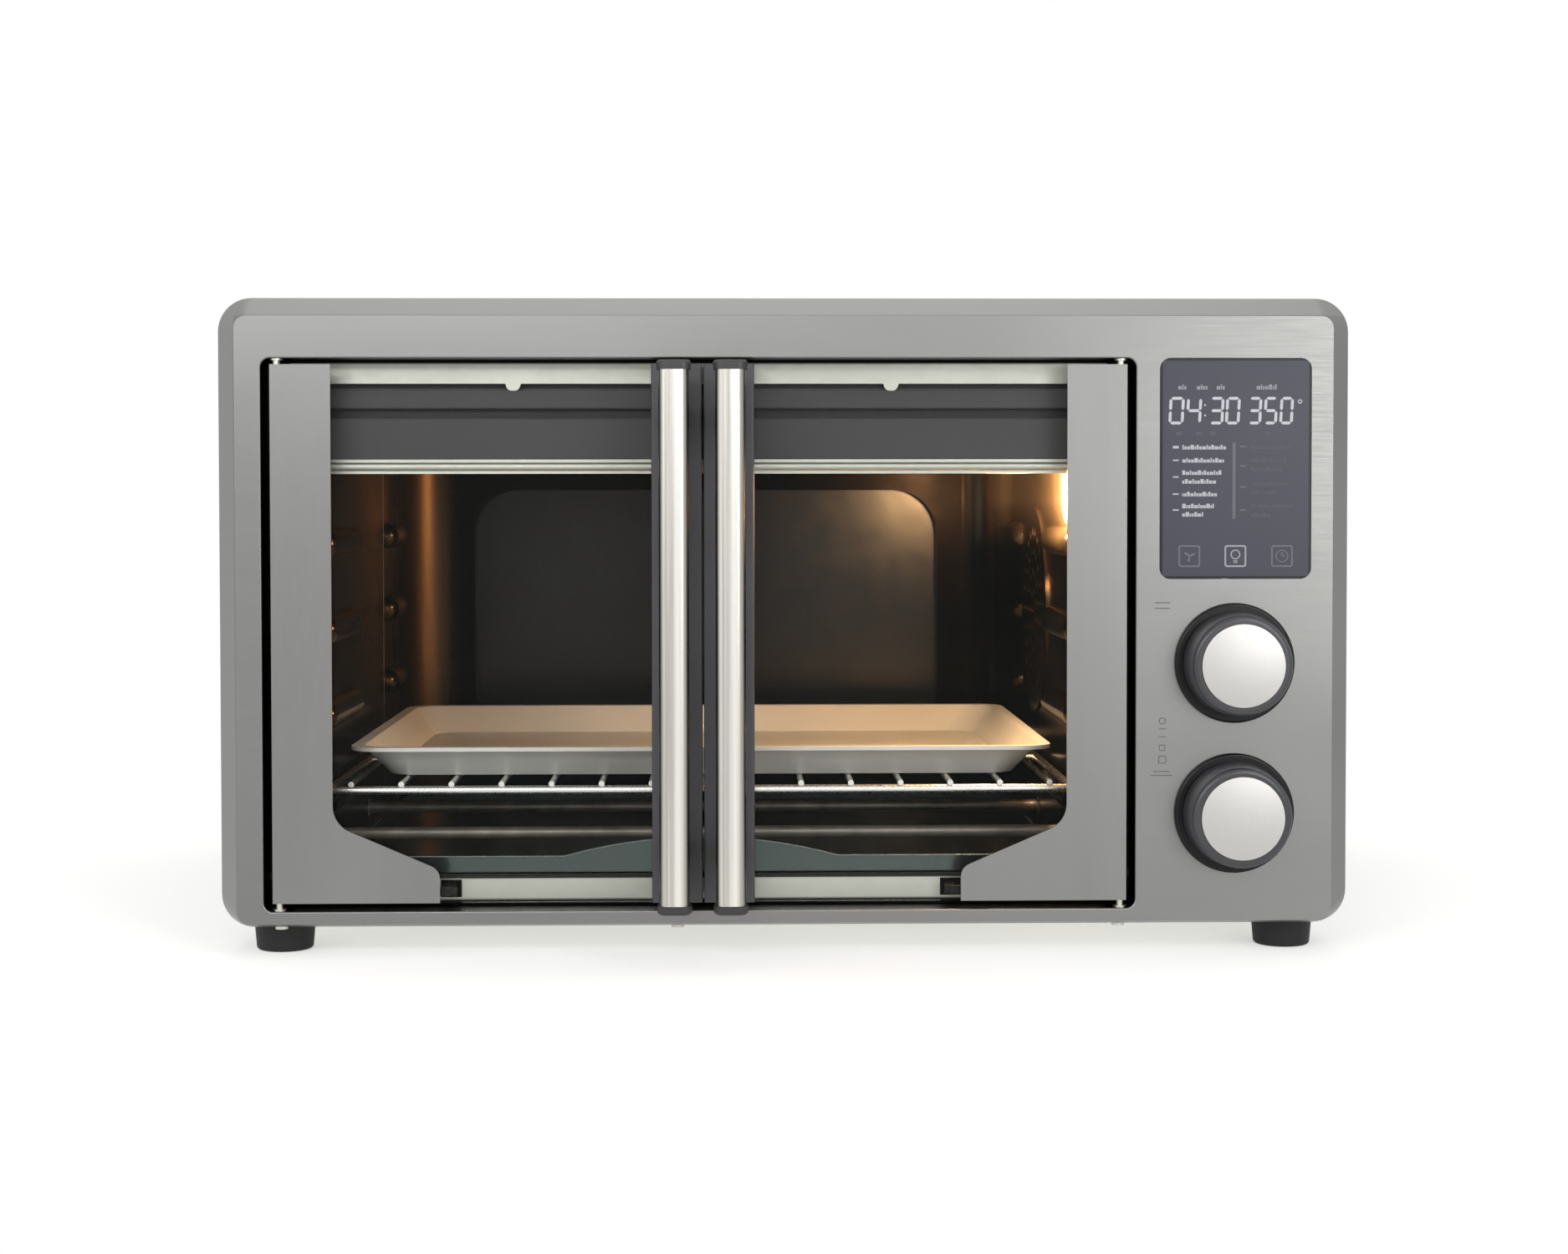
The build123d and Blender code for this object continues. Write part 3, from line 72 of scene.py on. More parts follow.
# %% [markdown]
# The camera
#
# The oven is seen nearly straight on, from a little above its middle. A camera
# turned towards it would make its upright edges lean. A product photographer
# keeps the film nearly parallel to the front and moves the lens off centre
# instead, and Blender's camera shift does the same. Only a small tilt, roll and
# turn are left, in degrees. These values were found by moving the camera until
# the edges of the render met those of the photograph.

# %% Camera
focal_length = 59.49
shift_across, shift_up = -0.0028, -0.0397
camera_place = (-0.030, -1.5005, 0.235)
tilt_down, camera_roll, turn_right = 1.635, 0.06, 1.364


def make_camera():
    lens = bpy.data.cameras.new("front_camera")
    lens.sensor_width = 36
    lens.lens = focal_length
    lens.shift_x = shift_across
    lens.shift_y = shift_up
    lens.clip_start = 0.05
    lens.clip_end = 30
    camera = bpy.data.objects.new("front_camera", lens)
    camera.location = camera_place
    camera.rotation_euler = (math.radians(90 - tilt_down), math.radians(camera_roll),
                             math.radians(-turn_right))
    bpy.context.scene.collection.objects.link(camera)
    bpy.context.scene.camera = camera
    return camera


camera = make_camera()
print("camera at", [round(v, 3) for v in camera.location], "lens", camera.data.lens)

# %% [markdown]
# The studio
#
# The background is white. White paper lit by lamps would need so much light
# that the steel would burn out, so the world is white only for rays that come
# from the camera, from glossy surfaces or through glass. Other rays meet a
# softer and slightly warm light.

# %% World
soft_strength = 0.5


def bright_rays(tree):
    """One for rays from the camera, from glossy surfaces or through glass, else zero."""
    path = tree.nodes.new("ShaderNodeLightPath")
    value = path.outputs["Is Camera Ray"]
    for name in ("Is Glossy Ray", "Is Transmission Ray"):
        either = tree.nodes.new("ShaderNodeMath")
        either.operation = "MAXIMUM"
        tree.links.new(value, either.inputs[0])
        tree.links.new(path.outputs[name], either.inputs[1])
        value = either.outputs[0]
    return value


def make_world():
    world = bpy.data.worlds.new("studio")
    bpy.context.scene.world = world
    world.use_nodes = True
    tree = world.node_tree
    tree.nodes.clear()
    out = tree.nodes.new("ShaderNodeOutputWorld")
    mix = tree.nodes.new("ShaderNodeMixShader")
    soft = tree.nodes.new("ShaderNodeBackground")
    white = tree.nodes.new("ShaderNodeBackground")
    soft.inputs["Color"].default_value = (1.0, 0.99, 0.97, 1)
    soft.inputs["Strength"].default_value = soft_strength
    white.inputs["Color"].default_value = (1, 1, 1, 1)
    white.inputs["Strength"].default_value = 1.0
    tree.links.new(bright_rays(tree), mix.inputs["Fac"])
    tree.links.new(soft.outputs[0], mix.inputs[1])
    tree.links.new(white.outputs[0], mix.inputs[2])
    tree.links.new(mix.outputs[0], out.inputs["Surface"])


make_world()
bpy.context.scene.view_settings.view_transform = "Standard"
print("view transform:", bpy.context.scene.view_settings.view_transform)

# %% [markdown]
# The lamps
#
# Brushed metal shows what stands round it, so the lamps are large and soft. The
# key lamp, the fill lamp and the top lamp light the whole body. The band lamp
# and the glint lamp are placed where the front mirrors them just past its upper
# and its right edge, which gives the metal its slow change from dark to light.

# %% Lamps
def soft_lamp(name, place, aim, size, power):
    """Rectangular lamp that faces a point; metres and watts."""
    data = bpy.data.lights.new(name, "AREA")
    data.shape = "RECTANGLE"
    data.size, data.size_y = size
    data.energy = power
    lamp = bpy.data.objects.new(name, data)
    lamp.location = place
    lamp.rotation_euler = (Vector(aim) - Vector(place)).to_track_quat("-Z", "Y").to_euler()
    bpy.context.scene.collection.objects.link(lamp)


soft_lamp("key_lamp", place=(0.9, -1.6, 1.2), aim=(0.1, -0.1, 0.2),
          size=(0.9, 0.9), power=6)
soft_lamp("glint_lamp", place=(0.70, -1.55, 0.33), aim=(0.2, -0.2, 0.25),
          size=(0.55, 0.28), power=3.3)
soft_lamp("band_lamp", place=(-0.48, -1.55, 0.70), aim=(-0.2, -0.2, 0.25),
          size=(1.1, 0.25), power=6)
soft_lamp("fill_lamp", place=(-1.5, -1.5, 0.9), aim=(-0.1, -0.1, 0.15),
          size=(0.8, 1.2), power=4)
soft_lamp("top_lamp", place=(0.0, 0.4, 1.9), aim=(0.0, 0.0, 0.2),
          size=(1.4, 1.0), power=6)

# %% [markdown]
# The floor
#
# The oven stands on a plain pale floor that fades into the white background.
# Near the oven the floor is ordinary paper and keeps the soft shadow under the
# body and feet. Further away it turns into a plain white glow, for the same
# rays as the world, so that no horizon shows. The distance from the middle of
# the floor decides which of the two a point is. A faint glow in the paper lifts
# the shadow, as light from a white room would.

# %% Floor
paper_white = (0.90, 0.90, 0.90, 1)
paper_lift = 0.42
fade_start, fade_end = 0.34, 0.62


def make_floor():
    mesh = bpy.data.meshes.new("floor")
    bm = bmesh.new()
    bmesh.ops.create_grid(bm, x_segments=8, y_segments=8, size=6)
    bm.to_mesh(mesh)
    bm.free()
    floor = bpy.data.objects.new("floor", mesh)
    bpy.context.scene.collection.objects.link(floor)
    mat = bpy.data.materials.new("pale_floor")
    mat.use_nodes = True
    tree = mat.node_tree
    tree.nodes.clear()
    out = tree.nodes.new("ShaderNodeOutputMaterial")
    paper = tree.nodes.new("ShaderNodeBsdfDiffuse")
    paper.inputs["Color"].default_value = paper_white
    lift = tree.nodes.new("ShaderNodeEmission")
    lift.inputs["Strength"].default_value = paper_lift
    lit_paper = tree.nodes.new("ShaderNodeAddShader")
    tree.links.new(paper.outputs[0], lit_paper.inputs[0])
    tree.links.new(lift.outputs[0], lit_paper.inputs[1])
    glow = tree.nodes.new("ShaderNodeEmission")
    glow.inputs["Strength"].default_value = 1.0
    place = tree.nodes.new("ShaderNodeTexCoord")
    distance = tree.nodes.new("ShaderNodeVectorMath")
    distance.operation = "LENGTH"
    fade = tree.nodes.new("ShaderNodeMapRange")
    fade.interpolation_type = "SMOOTHSTEP"
    fade.inputs["From Min"].default_value = fade_start
    fade.inputs["From Max"].default_value = fade_end
    seen = tree.nodes.new("ShaderNodeMixShader")
    tree.links.new(place.outputs["Object"], distance.inputs[0])
    tree.links.new(distance.outputs["Value"], fade.inputs["Value"])
    tree.links.new(fade.outputs["Result"], seen.inputs["Fac"])
    tree.links.new(lit_paper.outputs[0], seen.inputs[1])
    tree.links.new(glow.outputs[0], seen.inputs[2])
    pick = tree.nodes.new("ShaderNodeMixShader")
    tree.links.new(bright_rays(tree), pick.inputs["Fac"])
    tree.links.new(paper.outputs[0], pick.inputs[1])
    tree.links.new(seen.outputs[0], pick.inputs[2])
    tree.links.new(pick.outputs[0], out.inputs["Surface"])
    mesh.materials.append(mat)
    return floor


floor = make_floor()
print("floor made, fading from", fade_start, "to", fade_end, "m")

# %% [markdown]
# How a finish is built
#
# Every finish starts from the Principled shader. Three kinds of fine detail are
# shared by most of them: fine brushed lines, which are noise stretched along
# one axis, soft mottling, which is large noise, and fine grain for the bump.
# The texture is measured in the piece's own space in metres, so its scale is
# real and it moves with the piece. Noise seldom leaves the range from 0.3 to
# 0.7, so that range is spread over the numbers or colours of the finish.

# %% Finish helpers
noise_low, noise_high = 0.3, 0.7


def start_finish(name):
    """New material with its Principled shader."""
    mat = bpy.data.materials.new(name)
    mat.use_nodes = True
    shader = mat.node_tree.nodes["Principled BSDF"]
    return mat, mat.node_tree, shader


def noise(tree, per_metre, detail=3.0):
    """Noise with its own count of features per metre along each axis."""
    place = tree.nodes.new("ShaderNodeTexCoord")
    stretch = tree.nodes.new("ShaderNodeMapping")
    stretch.inputs["Scale"].default_value = per_metre
    grain = tree.nodes.new("ShaderNodeTexNoise")
    grain.inputs["Scale"].default_value = 1.0
    grain.inputs["Detail"].default_value = detail
    grain.inputs["Roughness"].default_value = 0.55
    tree.links.new(place.outputs["Object"], stretch.inputs["Vector"])
    tree.links.new(stretch.outputs["Vector"], grain.inputs["Vector"])
    return grain.outputs["Fac"]


def ramp(tree, value, low, high, from_low=noise_low, from_high=noise_high):
    """Map a value to a range of numbers."""
    span = tree.nodes.new("ShaderNodeMapRange")
    span.inputs["From Min"].default_value = from_low
    span.inputs["From Max"].default_value = from_high
    span.inputs["To Min"].default_value = low
    span.inputs["To Max"].default_value = high
    tree.links.new(value, span.inputs["Value"])
    return span.outputs["Result"]


def tint(tree, value, colour_low, colour_high):
    """Map noise to a range of colours."""
    stops = tree.nodes.new("ShaderNodeValToRGB")
    stops.color_ramp.elements[0].position = noise_low
    stops.color_ramp.elements[0].color = (*colour_low, 1)
    stops.color_ramp.elements[1].position = noise_high
    stops.color_ramp.elements[1].color = (*colour_high, 1)
    tree.links.new(value, stops.inputs["Fac"])
    return stops.outputs["Color"]


def bump(tree, shader, value, strength, depth):
    """Raise the surface by a value, with a depth in metres."""
    node = tree.nodes.new("ShaderNodeBump")
    node.inputs["Strength"].default_value = strength
    node.inputs["Distance"].default_value = depth
    tree.links.new(value, node.inputs["Height"])
    tree.links.new(node.outputs["Normal"], shader.inputs["Normal"])


def finish(name, dark, light, metal, rough, per_metre, grain_per_metre,
           strength=0.15, depth=0.0001):
    """Finish with mottled colour, varying gloss and fine bump.

    The mottling runs from dark to light and the roughness between the two values
    of rough. Both patterns are given by their count of features per metre.
    """
    mat, tree, shader = start_finish(name)
    shader.inputs["Metallic"].default_value = metal
    spread = noise(tree, per_metre)
    tree.links.new(tint(tree, spread, dark, light), shader.inputs["Base Color"])
    fine = noise(tree, grain_per_metre, detail=2.0)
    tree.links.new(ramp(tree, fine, rough[0], rough[1]), shader.inputs["Roughness"])
    bump(tree, shader, fine, strength, depth)
    return mat


def dress(material, *names):
    """Give a material to CAD nodes."""
    for name in names:
        obj = nodes[name]
        if not obj.material_slots:
            obj.data.materials.append(material)
        for slot in obj.material_slots:
            slot.material = material
        dressed.add(name)


dressed = set()
print("finish helpers ready")

# %% [markdown]
# A different look at a known place
#
# Some solids show two finishes: the folded flange of the front is bright
# outside and in deep shadow inside the door opening. A mask is one inside a
# box given in the piece's own space and zero outside it. It can mix in another
# colour there, darker or paler, or move one value such as the roughness. That
# keeps the solid in one piece and needs no painted picture.

# %% Box masks
def inside(tree, low, high, soft=0.0006):
    """One inside a box and zero outside it; None leaves a side open."""
    place = tree.nodes.new("ShaderNodeTexCoord")
    split = tree.nodes.new("ShaderNodeSeparateXYZ")
    tree.links.new(place.outputs["Object"], split.inputs["Vector"])
    value = None
    for axis, from_value, to_value in zip("XYZ", low, high):
        for edge, sign in ((from_value, 1), (to_value, -1)):
            if edge is None:
                continue
            step = ramp(tree, split.outputs[axis], 0, 1, edge - sign * soft, edge + sign * soft)
            if value is None:
                value = step
                continue
            both = tree.nodes.new("ShaderNodeMath")
            both.operation = "MULTIPLY"
            tree.links.new(value, both.inputs[0])
            tree.links.new(step, both.inputs[1])
            value = both.outputs[0]
    return value


def outside(tree, low, high, soft=0.0006):
    """Zero inside a box and one outside it."""
    rest = tree.nodes.new("ShaderNodeMath")
    rest.operation = "SUBTRACT"
    rest.inputs[0].default_value = 1.0
    tree.links.new(inside(tree, low, high, soft), rest.inputs[1])
    return rest.outputs[0]


def recolour(mat, mask, colour):
    """Give a finish another colour where a mask is one."""
    tree = mat.node_tree
    socket = tree.nodes["Principled BSDF"].inputs["Base Color"]
    mix = tree.nodes.new("ShaderNodeMix")
    mix.data_type = "RGBA"
    mix.inputs["B"].default_value = (*colour, 1)
    tree.links.new(mask, mix.inputs["Factor"])
    tree.links.new(socket.links[0].from_socket, mix.inputs["A"])
    tree.links.new(mix.outputs["Result"], socket)


def steer(mat, mask, name, value):
    """Move one plain value of a finish where a mask is one."""
    tree = mat.node_tree
    socket = tree.nodes["Principled BSDF"].inputs[name]
    mix = tree.nodes.new("ShaderNodeMix")
    mix.inputs["A"].default_value = socket.default_value
    mix.inputs["B"].default_value = value
    tree.links.new(mask, mix.inputs["Factor"])
    if socket.links:
        tree.links.new(socket.links[0].from_socket, mix.inputs["A"])
    tree.links.new(mix.outputs["Result"], socket)


print("mask helpers ready")

# %% [markdown]
# Satin steel for the body
#
# The front and the wrap are mid grey steel, brushed so finely that the brushing
# only softens the reflections. Noise stretched along X gives the lines: it has
# few features along X and many across it. The front varies a little more in
# colour and gloss than the wrap, because the camera sees it from close by.

# %% Satin steel
along_x = {"per_metre": (3, 12, 12), "grain_per_metre": (40, 2600, 2600)}
satin_steel = finish("satin_steel", (0.211, 0.211, 0.205), (0.226, 0.226, 0.219), 1.0,
                     (0.34, 0.37), **along_x, strength=0.08, depth=0.00004)
dress(satin_steel, "outer_wrap")
front_steel = finish("front_steel", (0.205, 0.205, 0.199), (0.232, 0.232, 0.225), 1.0,
                     (0.31, 0.40), **along_x, strength=0.08, depth=0.00004)
print("satin steel on", sorted(dressed))

# %% [markdown]
# Bevels and flange of the front
#
# The bevels along the top and the left of the front slope away from the lamps
# and would come out darker than the flat. In the photograph they are about as
# light as the flat, so their steel is made paler. The flange that folds back
# inside the door opening is in deep shadow and is made nearly black.

# %% Bevels and flange
deep_shadow = (0.006, 0.006, 0.006)
painted_bevel_highlight = (0.272, 0.272, 0.264)
fascia_low, fascia_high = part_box("front_fascia")
frame_low, frame_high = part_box("front_frame")
bevel_wide = 9 * mm
bevel_start = fascia_low.y + 0.4 * mm
below_bevel = fascia_high.z - bevel_wide
top_bevel = ((None, bevel_start, below_bevel), (None, None, None))
left_bevel = ((None, bevel_start, None), (fascia_low.x + bevel_wide, None, below_bevel))
# Painted highlight: the top and left bevels get a paler steel colour than the flat.
for low, high in (top_bevel, left_bevel):
    recolour(front_steel, inside(front_steel.node_tree, low, high, 0.0004), painted_bevel_highlight)
# Painted shadow: the flange inside the door opening is made nearly black.
flange_start = fascia_low.y + 1.6 * mm
around = 6 * mm
flange = inside(front_steel.node_tree,
                (frame_low.x - around, flange_start, frame_low.z - around),
                (frame_high.x + around, None, frame_high.z + around))
recolour(front_steel, flange, deep_shadow)
dress(front_steel, "front_fascia")
print("frame box", [round(v, 4) for v in (*frame_low, *frame_high)])

# %% [markdown]
# Door trims
#
# The upright sheets that hold the glass at its outer edge are the same steel,
# brushed up and down, so their noise is stretched along Z.

# %% Trim steel
along_z = {"per_metre": (12, 12, 3), "grain_per_metre": (2600, 2600, 40)}
trim_steel = finish("trim_steel", (0.210, 0.210, 0.204), (0.238, 0.238, 0.231), 1.0,
                    (0.31, 0.40), **along_z, strength=0.08, depth=0.00004)
dress(trim_steel, "left_door_trim", "right_door_trim")
print("steel on", sorted(dressed))

# %% [markdown]
# Bright brushed steel for the handle bars
#
# The two bars are bright steel brushed along their length. The long lines
# spread each highlight sideways and keep it sharp along the bar, which gives
# the upright stripes of light. Fine stripes come from the noise in the colour
# and from the bump. A few wide ones are painted reflections and painted shade:
# masks that run the whole length, pale where the bar mirrors the room and dark
# at its edges. Each is given by where it starts and ends as a share of the
# width, by its colour and by the softness of its edge in metres.

# %% Bright steel
bar_painted_reflections = (
    (0.22, 0.28, (0.40, 0.39, 0.365), 0.0005),
    (0.38, 0.41, (0.48, 0.46, 0.43), 0.0004),
    (0.52, 0.75, (0.76, 0.74, 0.695), 0.0011),
    (0.77, 1.1, (0.38, 0.365, 0.33), 0.0012),
    (-0.1, 0.09, (0.16, 0.155, 0.14), 0.0008),
    (0.93, 1.1, (0.14, 0.135, 0.12), 0.0008),
)
bright_steel = finish("bright_steel", (0.35, 0.335, 0.30), (0.74, 0.715, 0.66), 1.0,
                      (0.26, 0.36), (330, 330, 3), (4200, 4200, 14),
                      strength=0.2, depth=0.00005)
# The wide stripes are painted reflections and painted shade along each bar.
for side in ("left", "right"):
    bar_low, bar_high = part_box(side + "_handle_bar")
    width = bar_high.x - bar_low.x
    for start, end, colour, soft in bar_painted_reflections:
        painted_stripe = inside(bright_steel.node_tree, (bar_low.x + start * width, None, None),
                        (bar_low.x + end * width, None, None), soft)
        recolour(bright_steel, painted_stripe, colour)
dress(bright_steel, "left_handle_bar", "right_handle_bar")
print("bars dressed with", len(bar_painted_reflections), "wide stripes each")

# %% [markdown]
# Plated steel
#
# The linkage, the shafts and the screws are zinc or nickel plated. Plating is
# pale, a little green and slightly cloudy. Large soft noise gives the clouds.

# %% Plated steel
plated_steel = finish("plated_steel", (0.52, 0.52, 0.46), (0.64, 0.64, 0.57), 1.0,
                      (0.28, 0.40), (9, 9, 9), (700, 700, 700), strength=0.1, depth=0.00005)
dress(plated_steel, "base_plate", "link_guides", "left_link_bar", "right_link_bar",
      "left_sector_gear", "right_sector_gear", "idler_pinion",
      "hinge_bushes", "left_hinge_pins", "right_hinge_pins", "screws", "fan_motor",
      "upper_knob_shaft", "lower_knob_shaft")
print("plated steel on", len(dressed), "nodes so far")

# %% [markdown]
# The frame behind the doors
#
# The frame is plated too, but duller. Round its edge, behind the gap between
# door and front, no light arrives, and a painted shadow makes it dark there; a
# thin painted shade lies under the lip of the crumb tray. The check arms that
# stop the doors are made nearly black, a painted shade for the dark slots they
# pass through.

# %% Frame and check arms
frame_plating = finish("frame_plating", (0.54, 0.55, 0.485), (0.63, 0.64, 0.565), 1.0,
                       (0.42, 0.52), (9, 9, 9), (200, 300, 300), strength=0.03, depth=0.00005)
glass_low, glass_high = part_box("left_door_glass")
glass_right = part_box("right_door_glass")[1].x
past_glass = 1 * mm
# Painted shadow round the edge of the frame, and painted shade under the tray lip.
rim = outside(frame_plating.node_tree, (glass_low.x, None, glass_low.z - past_glass),
              (glass_right, None, glass_high.z + past_glass))
recolour(frame_plating, rim, deep_shadow)
tray_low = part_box("crumb_tray")[0]
under_lip, over_lip = tray_low.z - 2.6 * mm, tray_low.z + 1 * mm
lip_shade = inside(frame_plating.node_tree, (None, None, under_lip),
                   (None, None, over_lip), 0.0003)
recolour(frame_plating, lip_shade, (0.03, 0.03, 0.028))
dress(frame_plating, "front_frame")
# Painted shade: the check arms are made nearly black, like the shade in their slots.
check_arm_shade = finish("check_arm_shade_steel", (0.010, 0.010, 0.011), (0.018, 0.018, 0.019), 0.6,
                     (0.40, 0.55), (60, 60, 60), (1500, 1500, 1500),
                     strength=0.2, depth=0.00006)
dress(check_arm_shade, "left_check_arm", "right_check_arm")
print("crumb tray from z", round(tray_low.z, 4), "glass from z", round(glass_low.z, 4),
      "to", round(glass_high.z, 4))

# %% [markdown]
# Dark enamel
#
# The liner of the cooking space is dark, smooth enamel. It is nearly black and
# glossy. The walls are found from the rack, which reaches from one to the other,
# and the rear wall from the back of the liner, which has a pocket behind it.

# %% Dark enamel
enamel = finish("dark_enamel", (0.0030, 0.0023, 0.0019), (0.0050, 0.0038, 0.0031), 1.0,
                (0.20, 0.27), (9, 9, 9), (60, 60, 60), strength=0.02, depth=0.0001)
liner_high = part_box("cavity_liner")[1]
rack_low, rack_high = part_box("wire_rack")
wall_left, wall_right = rack_low.x, rack_high.x
near_left, near_right = wall_left + 8 * mm, wall_right - 8 * mm
bend = 27 * mm
back_face = liner_high.y - 19 * mm
past_back, before_bend = back_face + 2 * mm, back_face - 2 * bend
pocket = inside(enamel.node_tree, (None, past_back, None), (None, None, None))
recolour(enamel, pocket, (0.030, 0.029, 0.028))
print("rear wall of the cooking space at y", round(back_face, 4), "walls at x",
      round(wall_left, 4), round(wall_right, 4))

# %% [markdown]
# Light on the enamel
#
# The warm lamp's reflections in the enamel are painted as bronze streaks:
# along both side walls, in the bend of the rear left corner, and beside the
# rear right seam. A narrow fold of the left wall gets a painted cool highlight.
# The wall round the lamp gets a painted warm glow, which a mirror can't show,
# so it is made dull there. Each is a mask. Those for the streaks have wide soft
# edges, because light has no sharp border on a curved sheet.

# %% Enamel masks
# Painted reflections: bronze streaks along both side walls.
for low_x, high_x in ((None, near_left), (near_right, None)):
    side = inside(enamel.node_tree, (low_x, None, None), (high_x, before_bend, None), 0.006)
    recolour(enamel, side, (0.052, 0.034, 0.020))
# Painted highlight: a cool bright line on a fold of the left wall.
fold_end = back_face - 97 * mm
fold_start = fold_end - 2.4 * mm
fold = inside(enamel.node_tree, (None, fold_start, None), (near_left, fold_end, None), 0.0008)
recolour(enamel, fold, (0.32, 0.38, 0.46))
steer(enamel, fold, "Metallic", 0.0)
# Painted reflection: bronze in the bend of the rear left corner.
corner = inside(enamel.node_tree, (None, before_bend, None),
                (wall_left + bend, past_back, None), 0.006)
recolour(enamel, corner, (0.088, 0.052, 0.026))
steer(enamel, corner, "Roughness", 0.38)
# Painted highlight beside the rear right seam.
seam = inside(enamel.node_tree, (near_right, back_face - bend, None),
              (None, past_back, None), 0.003)
recolour(enamel, seam, (0.060, 0.050, 0.040))
dress(enamel, "cavity_liner", "fan_grille")
# Painted light: a warm glow on the dull wall round the lamp.
glow_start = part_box("lamp_lens")[0].z - 4 * mm
glow = inside(enamel.node_tree, (near_right, None, glow_start), (None, past_back, None), 0.016)
recolour(enamel, glow, (0.62, 0.44, 0.27))
steer(enamel, glow, "Metallic", 0.0)
print("enamel dressed; fold at y", round(fold_start, 4), "glow from z", round(glow_start, 4))

# %% [markdown]
# Dark paint
#
# The rear cover and the header panel above the mouth are dull dark paint on
# sheet steel. The groove pressed into the header and the gap above it are in
# deep shadow, so two masks at their heights make them nearly black.

# %% Dark paint
dark_paint = finish("dark_paint", (0.070, 0.070, 0.072), (0.086, 0.086, 0.088), 0.0,
                    (0.42, 0.52), (10, 10, 10), (1500, 1500, 1500),
                    strength=0.12, depth=0.00006)
dress(dark_paint, "rear_cover")
header_paint = finish("header_paint", (0.048, 0.048, 0.050), (0.055, 0.055, 0.057), 0.0,
                      (0.42, 0.52), (10, 10, 10), (1500, 1500, 1500),
                      strength=0.08, depth=0.00006)
header_low, header_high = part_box("header_panel")
# Painted shadow: the groove and the gap above it are made nearly black.
groove_low, groove_high, gap_low = 272 * mm, 277.5 * mm, 287.2 * mm
groove = inside(header_paint.node_tree, (None, None, groove_low),
                (None, None, groove_high), 0.0003)
recolour(header_paint, groove, (0.004, 0.004, 0.004))
gap_shadow = inside(header_paint.node_tree, (None, None, gap_low), (None, None, None), 0.0003)
recolour(header_paint, gap_shadow, (0.002, 0.002, 0.002))
dress(header_paint, "header_panel")
print("header panel z", round(header_low.z, 4), "to", round(header_high.z, 4))

# %% [markdown]
# Rack, pan and tray
#
# The rack is chrome plated wire. The pan is light grey sheet with a satin
# surface. The crumb tray is darker and smoother sheet, faintly cool, and
# mirrors the inside of the oven.

# %% Wire and sheet
chromed_wire = finish("chromed_wire", (0.86, 0.85, 0.81), (0.94, 0.93, 0.89), 1.0,
                      (0.22, 0.34), (60, 60, 60), (900, 900, 900),
                      strength=0.08, depth=0.00004)
dress(chromed_wire, "wire_rack")
pan_sheet = finish("pan_sheet", (0.80, 0.81, 0.76), (0.88, 0.89, 0.84), 0.2,
                   (0.36, 0.46), (16, 16, 16), (300, 300, 300), strength=0.06, depth=0.00008)
dress(pan_sheet, "baking_pan")
tray_sheet = finish("tray_sheet", (0.085, 0.108, 0.103), (0.108, 0.134, 0.128), 0.9,
                    (0.18, 0.24), (7, 7, 7), (60, 60, 60), strength=0.02, depth=0.00008)
dress(tray_sheet, "crumb_tray")
print("rack, pan and tray dressed")

# %% [markdown]
# Heating elements and ceramics
#
# The elements are steel tubes that have been red hot, so their surface is a
# dull beige grey with darker patches. Their ends sit in pale ceramic.

# %% Elements
element_steel = finish("element_steel", (0.30, 0.27, 0.23), (0.50, 0.45, 0.38), 0.6,
                       (0.38, 0.52), (60, 60, 60), (700, 700, 700),
                       strength=0.15, depth=0.00008)
dress(element_steel, "upper_elements", "lower_elements", "temperature_probe")
ceramic = finish("ceramic_white", (0.74, 0.72, 0.66), (0.84, 0.82, 0.77), 0.0,
                 (0.5, 0.65), (120, 120, 120), (1800, 1800, 1800),
                 strength=0.2, depth=0.00008)
dress(ceramic, "element_insulators", "lamp_socket")
print("elements dressed")

# %% [markdown]
# Door glass
#
# The glass is clear, 4 mm thick and faintly tinted. Glass that bends light
# would need many rays to let the lamps reach the inside. Alpha lets light
# straight through instead, and a clear film of gloss stays on top. Layer
# Weight makes it more solid when it is seen at a slant. The lens of the lamp is
# made the same way, of warm and cloudier glass.

# %% Glass
def make_glass(name, colour, clear, slanted):
    """Clear glass, given by how solid it is from the front and at a slant."""
    mat, tree, shader = start_finish(name)
    shader.inputs["Metallic"].default_value = 0.0
    shader.inputs["IOR"].default_value = 1.5
    smear = noise(tree, (14, 14, 14))
    smeared = tuple(c * 1.25 for c in colour)
    tree.links.new(tint(tree, smear, colour, smeared), shader.inputs["Base Color"])
    tree.links.new(ramp(tree, smear, 0.02, 0.06), shader.inputs["Roughness"])
    facing = tree.nodes.new("ShaderNodeLayerWeight")
    facing.inputs["Blend"].default_value = 0.35
    solid = ramp(tree, facing.outputs["Fresnel"], clear, slanted, 0.0, 1.0)
    tree.links.new(solid, shader.inputs["Alpha"])
    return mat


door_glass = make_glass("door_glass", (0.02, 0.024, 0.021), clear=0.05, slanted=0.38)
dress(door_glass, "left_door_glass", "right_door_glass")
lamp_glass = make_glass("lamp_glass", (0.80, 0.70, 0.50), clear=0.25, slanted=0.7)
dress(lamp_glass, "lamp_lens")
print("glass dressed")

# %% [markdown]
# The lamp in the cooking space
#
# A small warm bulb glows behind a glass lens high on the right wall. The bulb
# gets a glowing finish, and a small lamp beside it throws the light. The
# photograph shows no lamplight on the handle bars or on the table, so light
# linking keeps the small lamp off the bars, their caps and the floor.

# %% Bulb
def make_bulb():
    mat, tree, shader = start_finish("warm_bulb")
    glow = noise(tree, (300, 300, 300))
    colour = tint(tree, glow, (1.0, 0.62, 0.26), (1.0, 0.78, 0.45))
    tree.links.new(colour, shader.inputs["Base Color"])
    tree.links.new(colour, shader.inputs["Emission Color"])
    shader.inputs["Emission Strength"].default_value = 3.0
    return mat


dress(make_bulb(), "lamp_bulb")
print("bulb glows")

